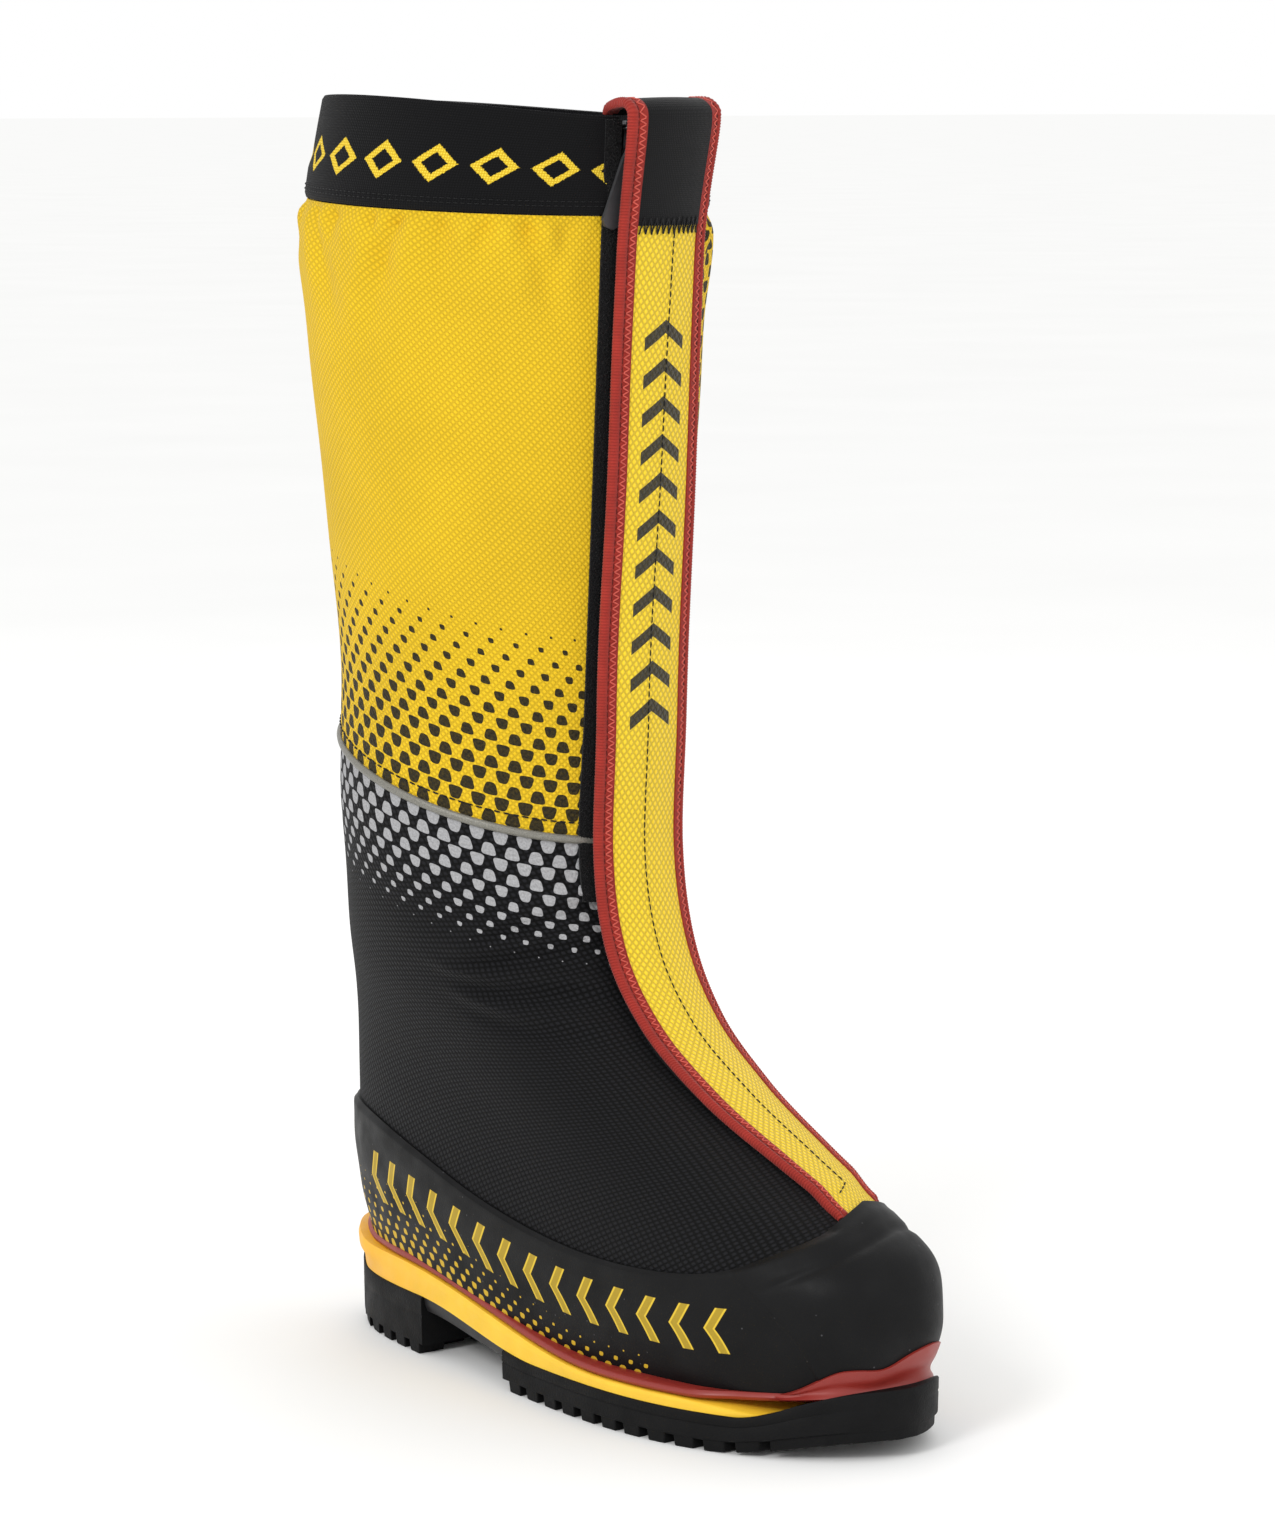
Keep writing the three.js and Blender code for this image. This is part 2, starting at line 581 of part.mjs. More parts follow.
// The slider's own axes: x lateral, y out of the boot, z up the zip.
const sliderTop = 8; // slider's middle below the chains' top
const zipLow = across(zipPlace, zipV0, 0);
const zipHigh = across(zipPlace, zipV1, 0);
const zipUp = zipHigh.clone().sub(zipLow).normalize();
const zipMiddle = (zipV0 + zipV1) / 2;
const zipOut = across(zipPlace, zipMiddle, 1).sub(across(zipPlace, zipMiddle, 0));
zipOut.addScaledVector(zipUp, -zipOut.dot(zipUp)).normalize();
const zipSide = new THREE.Vector3().crossVectors(zipOut, zipUp);
const sliderPlace = zipHigh.clone().addScaledVector(zipUp, -sliderTop);
const sliderFrame = new THREE.Matrix4().makeBasis(zipSide, zipOut, zipUp).setPosition(sliderPlace);

const sliderLong = 7;
const plate = 1.3;
const run = 0.5; // slider's clearance round the chains
const pivotHigh = 2; // pivot's middle above the slider's middle
const pivotRadius = 1.3;
const pullLow = chainHigh + run + plate + 0.8;
const pullThick = 1.5;
const cylinder = (radius, y0, y1, z) =>
  solid(new THREE.CylinderGeometry(radius, radius, y1 - y0, 16).translate(0, (y0 + y1) / 2, z).toNonIndexed()
    .setIndex(Array.from({ length: 16 * 12 }, (_, k) => k)));
const slider = block(-sliderHalf, sliderHalf, chainHigh + run, chainHigh + run + plate, -sliderLong, sliderLong)
  .add(block(-sliderHalf, sliderHalf, chainLow - run - plate, chainLow - run, -sliderLong, sliderLong))
  .add(block(-0.35, 0.35, chainLow - run - 0.1, chainHigh + run + 0.1, sliderLong - 2.5, sliderLong))
  .add(cylinder(pivotRadius, chainHigh + run + plate - 0.2, pullLow + pullThick + gap + 0.1, pivotHigh))
  .add(cylinder(pivotRadius + 1.1, pullLow + pullThick + gap, pullLow + pullThick + gap + 0.7, pivotHigh));
const sliderBody = fromSolid(slider);
sliderBody.applyMatrix4(sliderFrame);
add("zip_slider", sliderBody, 0x8a8a8c, 0.35, 0.9);

// The pull: a moulded tab on the pivot, hanging down and to the lateral side.
const pullLong = 36;
const pullHalf = 4;
const pullTilt = 20; // degrees from straight down
const pullShape = new THREE.Shape();
pullShape.absarc(0, 0, pivotRadius + 2.2, -0.5, Math.PI + 0.5, false);
pullShape.lineTo(-pullHalf, -9);
pullShape.lineTo(-pullHalf, -pullLong + 2);
pullShape.lineTo(-pullHalf + 2, -pullLong);
pullShape.lineTo(pullHalf - 2, -pullLong);
pullShape.lineTo(pullHalf, -pullLong + 2);
pullShape.lineTo(pullHalf, -9);
pullShape.closePath();
const pullHole = new THREE.Path();
pullHole.absarc(0, 0, pivotRadius + gap, 0, 2 * Math.PI, true);
pullShape.holes.push(pullHole);
const pull = new THREE.ExtrudeGeometry(pullShape, { depth: pullThick, bevelEnabled: false, curveSegments: 10 });
pull.rotateX(Math.PI / 2).translate(0, pullLow + pullThick, 0);
pull.rotateY(THREE.MathUtils.degToRad(-pullTilt)).translate(0, 0, pivotHigh).applyMatrix4(sliderFrame);
add("zip_pull", pull, 0x3a3a3c, 0.6);

// ---------------------------------------------------------------- inside
const shellThick = 5;
const linerThick = 7;
const shellOut = -cloth - 0.8;
const linerOut = shellOut - shellThick - 1;
const linerIn = linerOut - linerThick;
const linerTop = (q) => rise(q, lerp(linerFront, linerBack, fold(q)));
const lowerRows = rubberRows + clothRows;
const linerFirst = 2; // the liner's wall starts above its sole
const linerMore = 4;
const linerRow = (q, j) => {
  const k = j + linerFirst;
  return k < lowerRows ? lowerRow(q, k) : lerp(lowerRow(q, lowerRows - 1), linerTop(q), (k - lowerRows + 1) / linerMore);
};
add("shell_boot", wrap({
  rows: lowerRows - 1, levelAt: lowerRow, n0: shellOut - shellThick, n1: shellOut, slitFrom: 2,
}), 0x2b2b2e);
add("inner_boot", wrap({
  rows: lowerRows + linerMore - linerFirst, levelAt: linerRow, n0: linerIn, n1: linerOut, slitFrom: 2,
}), 0x35353a);
const above = (z) => (y) => feather(y) + z;
const ballSlim = (y) => 5.5 * smooth(-y / soleLength, -0.2, 0.1);
add("insole_board", layer({
  from: toeY + 24, to: heelY - 20, grow: -16, slim: ballSlim, low: above(soleGap), high: above(2.5),
}), 0x17171a, 0.4);
add("inner_boot_sole", layer({
  from: toeY + 26, to: heelY - 22, grow: -16.5, slim: ballSlim, low: above(3), high: above(9.5),
}), 0x3a3a3e);
add("footbed", layer({
  from: toeY + 36, to: heelY - 32, grow: -27, slim: ballSlim, low: above(10), high: above(13),
}), 0x6b6b70);

// Interfaces and axes, for the record: the flap's hinge, the zip's slide and the pull's pivot.
const hingeLow = across(-flapHalf, flapSplit, bindHigh);
const hingeHigh = across(-flapHalf, 1, bindHigh);
const pivot = sliderPlace.clone().addScaledVector(zipUp, pivotHigh);

// The origin is on the ground under the middle of the whole boot's box.
const box = new THREE.Box3().setFromObject(boot);
const middle = box.getCenter(new THREE.Vector3());
boot.position.set(-middle.x, -middle.y, -box.min.z);

export const places = { hingeLow, hingeHigh, pivot, zipUp, zipOut, zipLow, zipHigh, shift: boot.position };
export { skin, rise, ring, across, surface };
export default boot;
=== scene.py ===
"""A high-altitude double mountaineering boot: the gaiter, rubber, closure, sole and inner boots.

Lengths inside the functions are millimetres in the sole's frame, toe to -Y, lateral side -X, and
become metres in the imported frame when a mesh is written.
"""

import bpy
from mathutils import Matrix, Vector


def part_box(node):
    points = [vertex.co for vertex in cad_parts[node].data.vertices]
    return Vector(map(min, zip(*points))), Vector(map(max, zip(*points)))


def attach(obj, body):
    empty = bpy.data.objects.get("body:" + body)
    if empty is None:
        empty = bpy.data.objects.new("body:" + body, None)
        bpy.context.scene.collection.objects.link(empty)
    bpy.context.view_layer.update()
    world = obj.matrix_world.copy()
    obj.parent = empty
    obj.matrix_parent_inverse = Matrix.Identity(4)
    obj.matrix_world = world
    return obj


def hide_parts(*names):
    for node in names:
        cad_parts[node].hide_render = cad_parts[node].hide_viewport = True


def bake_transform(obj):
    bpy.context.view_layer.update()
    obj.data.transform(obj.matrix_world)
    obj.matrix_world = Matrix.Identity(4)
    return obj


bl_info = {
    "name": "Mountaineering Boot",
    "version": (1, 0, 0),
    "blender": (4, 5, 0),
    "location": "3D View > Sidebar > Boot",
    "description": "Builds a double mountaineering boot and its gaiter round the packed frame",
    "category": "Add Mesh",
}

import math
from itertools import product

import bpy
import numpy as np
from mathutils import Vector

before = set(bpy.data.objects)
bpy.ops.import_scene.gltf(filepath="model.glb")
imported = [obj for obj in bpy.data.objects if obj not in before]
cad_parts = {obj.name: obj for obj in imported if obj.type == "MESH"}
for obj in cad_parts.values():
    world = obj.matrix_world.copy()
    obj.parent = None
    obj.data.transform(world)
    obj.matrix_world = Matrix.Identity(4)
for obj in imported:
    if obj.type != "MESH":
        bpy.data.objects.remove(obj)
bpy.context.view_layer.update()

MM = 0.001

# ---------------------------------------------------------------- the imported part's own sizes, mm
SOLE_LENGTH = 324
BALL_WIDTH = 118
HEEL_WIDTH = 86
TOE_BEND = 9
FRONT_HEIGHT = 506
BACK_HEIGHT = 513
CUFF_HEIGHT = 38
GAP = 0.3
CLOTH = 1.5
RAND_THICK = 2.4
CAP_THICK = 3.0
FLAP_HALF = 22.5
BINDING_WIDTH = 7
FLAP_LIFT = 6
FLAP_THICK = 1.8
ZIP_PLACE = 12
ZIP_TOP = 503
ZIP_BOTTOM = 220
SLIT_HALF = 7
CHAIN_PITCH = 0.8
CHAIN_WIDTH = 2.2
TAPE_WIDTH = 11
SLIDER_HALF = 5.2
PIPE_FRONT = 220
PIPE_BACK = 262
RAND_HEIGHTS = np.array([90, 80, 68, 65, 68, 76, 87, 95, 97.0])
TOE_Y = -SOLE_LENGTH / 2
HEEL_Y = SOLE_LENGTH / 2


def frame_shift():
    """Where the sole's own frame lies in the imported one, from the heel's and the toe's boxes."""
    heel_low, heel_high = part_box("heel_outsole")
    toe_low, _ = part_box("forefoot_outsole")
    return np.array([(heel_low.x + heel_high.x) / 2 / MM, toe_low.y / MM - TOE_Y, 0.0])


SHIFT = frame_shift()


# ---------------------------------------------------------------- the skin
def lerp(a, b, t):
    """The point a share t of the way from a to b."""
    return a + (b - a) * t


def smooth(x, low, high):
    """The cubic step 3t^2 - 2t^3 from low to high."""
    t = np.clip((np.asarray(x, float) - low) / (high - low), 0, 1)
    return t * t * (3 - 2 * t)


def bent(c, power):
    """The sign of c times its size to a power: squares the ends of an ellipse."""
    return np.sign(c) * np.abs(c) ** power


def between(values, x):
    """Catmull-Rom between the rows of a table, with x from 0 to 1 over the whole table."""
    last = len(values) - 1
    place = np.clip(x, 0, 1) * last
    i = np.minimum(np.floor(place).astype(int), last - 1)
    t = place - i
    a, b, c, d = (values[np.clip(i + k, 0, last)] for k in (-1, 0, 1, 2))
    slope_in, slope_out = (c - a) / 2, (d - b) / 2
    cubic = 2 * (b - c) + slope_in + slope_out
    return b + slope_in * t + (3 * (c - b) - 2 * slope_in - slope_out) * t**2 + cubic * t**3


# Height in front at which the shaft starts, mm.
SHAFT_FOOT = 215


def foot_level(front_y, front_z, back_y, back_z, front_half, back_half, end, ridge):
    """A row of LEVELS at the foot, its y measured from the sole's toe and heel."""
    return (front_y + TOE_Y, front_z, back_y + HEEL_Y, back_z, front_half, back_half, end, ridge)


def shaft_level(front_z, back_y, back_z, half):
    """A row of LEVELS up the shaft, whose front leans out and whose ridge turns with height."""
    share = (front_z - SHAFT_FOOT) / (FRONT_HEIGHT - SHAFT_FOOT)
    return (lerp(3, -7, share), front_z, back_y, back_z, half, half, 1, lerp(6.5, 11, share))


# Tilted rings up the boot: front (y, z), back (y, z), half widths, end power, ridge's place.
LEVELS = np.array([
    foot_level(11, 26, -9, 44, 51, 38, 0.8, 9),
    foot_level(4, 48, -4, 62, 55, 41, 0.78, 9),
    foot_level(11, 69, -1, 82, 55, 44, 0.8, 9),
    foot_level(30, 86, 0, 102, 52, 45, 0.84, 9),
    foot_level(62, 103, -1, 124, 50, 47, 0.88, 8),
    foot_level(99, 122, -3, 150, 50, 51, 0.92, 8),
    foot_level(132, 144, -7, 178, 54, 58, 0.96, 7),
    foot_level(154, 174, -12, 208, 60, 64, 1, 6),
    shaft_level(SHAFT_FOOT, 147, 243, 67),
    shaft_level(270.29, 145, 283.5, 69),
    shaft_level(334.31, 149, 340.2, 74),
    shaft_level(401.24, 155, 405, 78),
    shaft_level(465.26, 157, 469.8, 80),
    shaft_level(FRONT_HEIGHT, 146, BACK_HEIGHT, 77),
])


def feather(y):
    """Height of the line where the upper meets the sole: dips at the ball, rises to the heel."""
    share = np.asarray(y, float) / SOLE_LENGTH
    return (22.5 + 3.5 * smooth(-share, 0.28, 0.5) + 17.5 * smooth(share, -0.16, 0.32)
            + 4 * smooth(share, 0.4, 0.5))


def toe_offset(y):
    """How far the sole's middle line bends inwards towards the toe: a parabola."""
    return TOE_BEND * (np.maximum(0, -y) / (SOLE_LENGTH / 2)) ** 2


def way_along(points, axis=0):
    """Running sum of the steps between points along an axis of their grid, from 0."""
    steps = np.linalg.norm(np.diff(points, axis=axis), axis=-1)
    start = np.zeros_like(np.take(steps, [0], axis))
    return np.concatenate([start, np.cumsum(steps, axis)], axis)


# Size of the skin's table, and the points of a ring before they are spaced evenly.
SKIN_ROWS = 521
SKIN_COLUMNS = 1440
RING_STEPS = 481


def make_skin():
    """The gaiter's outer face as a table over v (rows) and the share q of the way round (columns).

    Each ring is a squared ellipse, x = width sin a and y = middle - half cos a, in a tilted
    plane, and is then spaced evenly along its length.
    """
    v = np.linspace(0, 1, SKIN_ROWS)[:, None]
    front_y, front_z, back_y, back_z, front_half, back_half, end, ridge = (
        between(LEVELS[:, k], v) for k in range(8))
    half = (back_y - front_y) / 2
    a = np.arcsin(ridge / front_half) - np.linspace(0, 2 * np.pi, RING_STEPS)[None, :]
    width = lerp(back_half, front_half, (1 + np.cos(a)) / 2)
    y = front_y + half - half * bent(np.cos(a), end)
    plane = front_z + (back_z - front_z) * (y - front_y) / (2 * half)
    first = lerp(LEVELS[0, 1], LEVELS[0, 3], (y - TOE_Y - 11) / (SOLE_LENGTH - 20))
    fade = 1 - smooth(v * (len(LEVELS) - 1), 0, 4)
    z = plane + fade * (feather(y) + GAP - first)
    x = width * bent(np.sin(a), end) + toe_offset(y) * (1 - smooth(v, 0.3, 0.55))
    rings = np.stack([x, y, z], -1)
    along = way_along(rings, 1)
    share = np.linspace(0, 1, SKIN_COLUMNS + 1)
    table = np.stack([
        np.stack([np.interp(share * way[-1], way, ring[:, k]) for k in range(3)], -1)
        for way, ring in zip(along, rings)])
    return table, along[:, -1]


SKIN, RING_LENGTHS = make_skin()


def ring_length(v):
    """Way round the skin at v, in mm."""
    return np.interp(v, np.linspace(0, 1, SKIN_ROWS), RING_LENGTHS)


def surface(q, v):
    """Point of the skin at share q of the way round and height share v, between table points."""
    q, v = np.broadcast_arrays(np.asarray(q, float), np.asarray(v, float))
    x = (q - np.floor(q)) * SKIN_COLUMNS
    y = np.clip(v, 0, 1) * (SKIN_ROWS - 1)
    i = np.minimum(x.astype(int), SKIN_COLUMNS - 1)
    j = np.minimum(y.astype(int), SKIN_ROWS - 2)
    s, t = (x - i)[..., None], (y - j)[..., None]
    low = lerp(SKIN[j, i], SKIN[j, i + 1], s)
    high = lerp(SKIN[j + 1, i], SKIN[j + 1, i + 1], s)
    return lerp(low, high, t)


def unit(vectors):
    """The vectors at length 1."""
    return vectors / np.maximum(np.linalg.norm(vectors, axis=-1, keepdims=True), 1e-12)


def outward(q, v):
    """The skin's outward normal, from the cross product of the ways up and round."""
    way_round = surface(q + 0.006, v) - surface(q - 0.006, v)
    way_up = surface(q, np.minimum(v + 0.004, 1)) - surface(q, np.maximum(v - 0.004, 0))
    return unit(np.cross(way_up, way_round))


def skin(q, v, n=0.0):
    """A point n mm out of the skin."""
    q, v, n = np.broadcast_arrays(*(np.asarray(a, float) for a in (q, v, n)))
    return surface(q, v) + outward(q, v) * n[..., None]


def across(s, v, n=0.0):
    """The same with s, the way round from the ridge to the lateral side, in mm."""
    return skin(s / ring_length(v), v, n)


def rise(q, z):
    """The v at which the meridian q reaches height z, by halving the span 24 times."""
    q, z = np.broadcast_arrays(np.asarray(q, float), np.asarray(z, float))
    low, high = np.zeros(q.shape), np.ones(q.shape)
    for _ in range(24):
        middle = (low + high) / 2
        under = surface(q, middle)[..., 2] < z
        low, high = np.where(under, middle, low), np.where(under, high, middle)
    return (low + high) / 2


def fold(q):
    """0 at the ridge, 1 at the heel, both ways round."""
    share = q - np.floor(q)
    return 2 * np.minimum(share, 1 - share)


def level_line(heights):
    """A line round the boot at heights(fold) as a function from q to v."""
    q = np.linspace(0, 1, 721)
    v = rise(q, heights(fold(q)))
    return lambda share: np.interp(share - np.floor(share), q, v)


def cosine_share(f):
    """Half a cosine wave that rises from 0 to 1."""
    return (1 - np.cos(np.pi * f)) / 2


rand_top = level_line(lambda f: between(RAND_HEIGHTS, f))
pipe_line = level_line(lambda f: lerp(PIPE_FRONT, PIPE_BACK, cosine_share(f)))
cuff_line = level_line(lambda f: lerp(FRONT_HEIGHT, BACK_HEIGHT, cosine_share(f)) - CUFF_HEIGHT)
liner_line = level_line(lambda f: lerp(318, 340, f))
SLIT_LOW = float(rise(0.02, ZIP_BOTTOM - 36))
SLIT_SHUT = 0.4


def slit_half(v):
    """Half the slit for the zip: closes to a hair under the fixed part of the flap."""
    return lerp(SLIT_SHUT, SLIT_HALF, smooth(v, SLIT_LOW - 0.02, SLIT_LOW + 0.02))


def wrap_grid(columns, rows, bottom, top):
    """q and v of a grid that wraps the leg from one side of the slit to the other.

    The slit's place depends on v and the edges' v on q, so both are worked out five times over.
    """
    i = np.linspace(0, 1, columns)[:, None]
    j = np.linspace(0, 1, rows)[None, :]
    q = i + 0 * j
    v = lerp(bottom(q), top(q), j)
    for _ in range(5):
        length = ring_length(v)
        q = lerp((ZIP_PLACE + slit_half(v)) / length, 1 + (ZIP_PLACE - slit_half(v)) / length, i)
        v = lerp(bottom(q), top(q), j)
    return q, v


# ---------------------------------------------------------------- meshes
def linear(code):
    """A colour of sRGB hex digits as linear red, green, blue and alpha."""
    values = np.array([int(code[k:k + 2], 16) / 255 for k in (0, 2, 4)])
    low = values / 12.92
    high = ((values + 0.055) / 1.055) ** 2.4
    return (*np.where(values <= 0.04045, low, high).tolist(), 1.0)


def swept_faces(rows, columns, closed=False):
    """Faces of a grid whose columns run round a closed profile.

    Open rows get end caps, strips between the profile's points i and columns - 1 - i.
    """
    index = np.arange(rows * columns).reshape(rows, columns)
    a, b = (index, np.roll(index, -1, 0)) if closed else (index[:-1], index[1:])
    faces = np.stack([a, b, np.roll(b, -1, 1), np.roll(a, -1, 1)], -1).reshape(-1, 4)
    if closed:
        return faces
    i = np.arange(columns // 2 - 1)
    cap = np.stack([i, i + 1, columns - 2 - i, columns - 1 - i], -1)
    return np.concatenate([faces, index[0][cap], index[-1][cap][:, ::-1]])


def volume(points, faces):
    """Signed volume of closed quads, from the tetrahedra to the origin."""
    a, b, c, d = (points[faces[:, k]] for k in range(4))
    return (a * (np.cross(b, c) + np.cross(c, d))).sum()


def piece(name, points, faces, materials, body="boot", uv=None, fields=(), inner=None, sharp=40):
    """Writes a closed mesh, faces out, in metres, and lets it ride on a body, or on none yet.

    uv is a pair per point in mm, fields are named values per point, and inner tells the faces
    that take the second material.
    """
    points = np.asarray(points, float).reshape(-1, 3)
    if volume(points - points.mean(0), faces) < 0:
        faces = faces[:, ::-1]
    mesh = bpy.data.meshes.new(name)
    mesh.from_pydata(((points + SHIFT) * MM).tolist(), [], faces.tolist())
    for material in materials:
        mesh.materials.append(material)
    if uv is not None:
        layer = mesh.uv_layers.new(name="Cloth")
        corners = np.zeros(len(mesh.loops), np.int32)
        mesh.loops.foreach_get("vertex_index", corners)
        places = np.reshape(uv, (-1, 2))[corners] * MM
        layer.uv.foreach_set("vector", places.astype(np.float32).ravel())
    for label, values in dict(fields).items():
        field = mesh.attributes.new(label, "FLOAT", "POINT")
        field.data.foreach_set("value", np.asarray(values, np.float32).ravel())
    if inner is not None:
        mesh.polygons.foreach_set("material_index", np.asarray(inner, np.int32))
    mesh.shade_smooth()
    if sharp:
        mesh.set_sharp_from_angle(angle=math.radians(sharp))
    mesh.validate()
    made = bpy.data.objects.new(name, mesh)
    bpy.context.scene.collection.objects.link(made)
    if body:
        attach(made, body)
    return made


def loft(name, grid, materials, **more):
    """A piece from a grid of points whose columns run round a closed profile."""
    return piece(name, grid, swept_faces(*grid.shape[:2]), materials, **more)


def there_and_back(there, back):
    """The columns of one grid, then those of another in reverse: a closed profile."""
    return np.concatenate([there, back[:, ::-1]], axis=1)


def shell(name, q, v, n_out, n_in, materials, **more):
    """A cloth or rubber wall on the skin: outer face up, inner face down, closed at its hems.

    lift raises each point by some mm.
    """
    lift = more.pop("lift", 0 * q)
    outer, inside = skin(q, v, n_out), skin(q, v, n_in)
    outer[..., 2] += lift
    inside[..., 2] += lift
    points = there_and_back(outer, inside)
    rows, columns = points.shape[:2]
    closed = more.pop("closed", False)
    faces = swept_faces(rows, columns, closed)
    if len(materials) > 1:
        second = np.arange(columns) >= columns // 2
        wall = np.tile(second, rows if closed else rows - 1)
        more["inner"] = np.concatenate([wall, np.zeros(len(faces) - len(wall), int)])
    if "uv" in more:
        more["uv"] = there_and_back(more["uv"], more["uv"])
    more["fields"] = {
        label: there_and_back(values, values) for label, values in more.get("fields", {}).items()}
    return piece(name, points, faces, materials, **more)


def cloth_uv(q, v, from_top=False, round_at=None):
    """Way from the heel and way up the meridian, both in mm, for patterns that lie in cloth.

    The way round is measured at each point's own height, or all of it at round_at.
    """
    up = way_along(surface(q, v), 1)
    if from_top:
        up = up - up[:, -1:]
    return np.stack([(q - 0.5) * ring_length(v if round_at is None else round_at), up], -1)


def tube(path, normal, wide, high, sides=8):
    """Grid of a cord with an elliptic section: path + wide cos a side + high sin a normal."""
    tangent = unit(np.gradient(path, axis=0))
    side = unit(np.cross(tangent, normal))
    top = np.cross(side, tangent)
    a = np.linspace(0, 2 * np.pi, sides, endpoint=False)[None, :, None]
    wide, high = (np.broadcast_to(w, len(path))[:, None, None] for w in (wide, high))
    return path[:, None] + wide * np.cos(a) * side[:, None] + high * np.sin(a) * top[:, None]


def evenly(path, step):
    """Rows of a path, with fractions, that lie a step apart along it."""
    ways = way_along(path)
    want = np.arange(step / 2, ways[-1] - step / 4, step)
    return np.interp(want, ways, np.arange(len(path)))


def at_rows(values, rows):
    """Values between the rows of a table."""
    low = np.minimum(np.floor(rows).astype(int), len(values) - 2)
    return lerp(values[low], values[low + 1], (rows - low)[:, None])


# A stitch's rings: place along it and radius, as shares of its length and thickness.
STITCH_RINGS = np.array([[-0.5, 0.25], [-0.36, 0.85], [0, 1], [0.36, 0.85], [0.5, 0.25]])


def stitches(path, normal, length=2.6, gap=0.9, share=1.0):
    """Beads of thread along a path: rings of six points whose radius swells in the middle.

    Each bead arches up by a parabola. Returns points and faces, so that several rows can be one
    piece.
    """
    thick = bpy.context.scene.boot_looks.thread / MM * share
    rows = evenly(path, length + gap)
    middle = at_rows(path, rows)
    along = unit(at_rows(np.gradient(path, axis=0), rows))
    up = unit(at_rows(normal, rows))
    side = np.cross(along, up)
    a = np.arange(6) * np.pi / 3
    shift, swell = STITCH_RINGS[:, 0], STITCH_RINGS[:, 1] * thick
    lift = (1 - (2 * shift) ** 2) * thick * 0.6
    points = (middle[:, None, None]
              + along[:, None, None] * (shift * length)[None, :, None, None]
              + side[:, None, None] * (swell[:, None] * np.cos(a))[None, :, :, None]
              + up[:, None, None] * (lift[:, None] + swell[:, None] * np.sin(a))[None, :, :, None])
    one = swept_faces(5, 6)[:24]
    caps = np.array([[0, 1, 2, 3], [0, 3, 4, 5], [27, 26, 25, 24], [29, 28, 27, 24]])
    one = np.concatenate([one, caps])
    starts = np.arange(len(middle))[:, None, None] * 30
    return points.reshape(-1, 3), (one[None] + starts).reshape(-1, 4)


def joined(parts):
    """Several (points, faces) as one."""
    starts = np.cumsum([0] + [len(points) for points, _ in parts[:-1]])
    return (np.concatenate([points.reshape(-1, 3) for points, _ in parts]),
            np.concatenate([faces + start for (_, faces), start in zip(parts, starts)]))


# ---------------------------------------------------------------- materials
def put(tree, kind, links=(), out=0, **settings):
    """Adds a shader node with its settings, fills its inputs with values or links, and returns
    one of its outputs."""
    made = tree.nodes.new("ShaderNode" + kind)
    for label, value in settings.items():
        setattr(made, label, value)
    for socket, value in dict(links).items():
        if isinstance(value, bpy.types.NodeSocket):
            tree.links.new(value, made.inputs[socket])
        else:
            made.inputs[socket].default_value = value
    return made.outputs[out] if made.outputs else made


def finish_material(tree, color, roughness, height=None, depth=0.3, **shader):
    """Ends a material: a Principled shader with the colour, roughness and a bump in mm."""
    inputs = {"Base Color": color, "Roughness": roughness, **shader}
    if height is not None:
        bump = {"Height": height, "Distance": depth * MM, "Strength": 1.0}
        inputs["Normal"] = put(tree, "Bump", bump)
    surface_out = put(tree, "BsdfPrincipled", inputs)
    put(tree, "OutputMaterial", {"Surface": surface_out})


def new_material(label):
    """An empty material and its node tree."""
    made = bpy.data.materials.new(label)
    made.use_nodes = True
    made.node_tree.nodes.clear()
    return made, made.node_tree


def mottle(tree, place, size, low, high, detail=3.0):
    """A grey noise of that size in mm, spread from low to high."""
    grain = put(tree, "TexNoise", {"Vector": place, "Scale": 1 / (size * MM), "Detail": detail})
    spread = {"Value": grain, "From Min": 0.3, "From Max": 0.7, "To Min": low, "To Max": high}
    return put(tree, "MapRange", spread)


def toned(color, share):
    """A colour made darker or lighter by a factor."""
    return (*(min(part * share, 1) for part in color[:3]), 1.0)


def weave(tree, place, wide, high, turn=0.0):
    """Height of a weave of rounded knots: |sin| across times |sin| along, turned by an angle."""
    scale = (math.pi / (wide * MM), math.pi / (high * MM), 1)
    turned = put(tree, "Mapping", {"Vector": place, "Rotation": (0, 0, turn), "Scale": scale})
    parts = put(tree, "SeparateXYZ", {0: turned}).node
    waves = []
    for k in (0, 1):
        wave = put(tree, "Math", {0: parts.outputs[k]}, operation="SINE")
        waves.append(put(tree, "Math", {0: wave}, operation="ABSOLUTE"))
    return put(tree, "Math", {0: waves[0], 1: waves[1]}, operation="MULTIPLY")


def in_cell(tree, way):
    """A way counted in cells as the place in its cell, -0.5 to 0.5."""
    share = put(tree, "Math", {0: way}, operation="FRACT")
    return put(tree, "Math", {0: share, 1: 0.5}, operation="SUBTRACT")


def from_middle(tree, way):
    """How far a way counted in cells lies from the middle of its cell, 0 to 0.5."""
    return put(tree, "Math", {0: in_cell(tree, way)}, operation="ABSOLUTE")


# Squareness of a printed dot, how much narrower it is than its cell, and its edge's softness.
DOT_POWER = 3.2
DOT_NARROW = 1.7
DOT_EDGE = 0.012


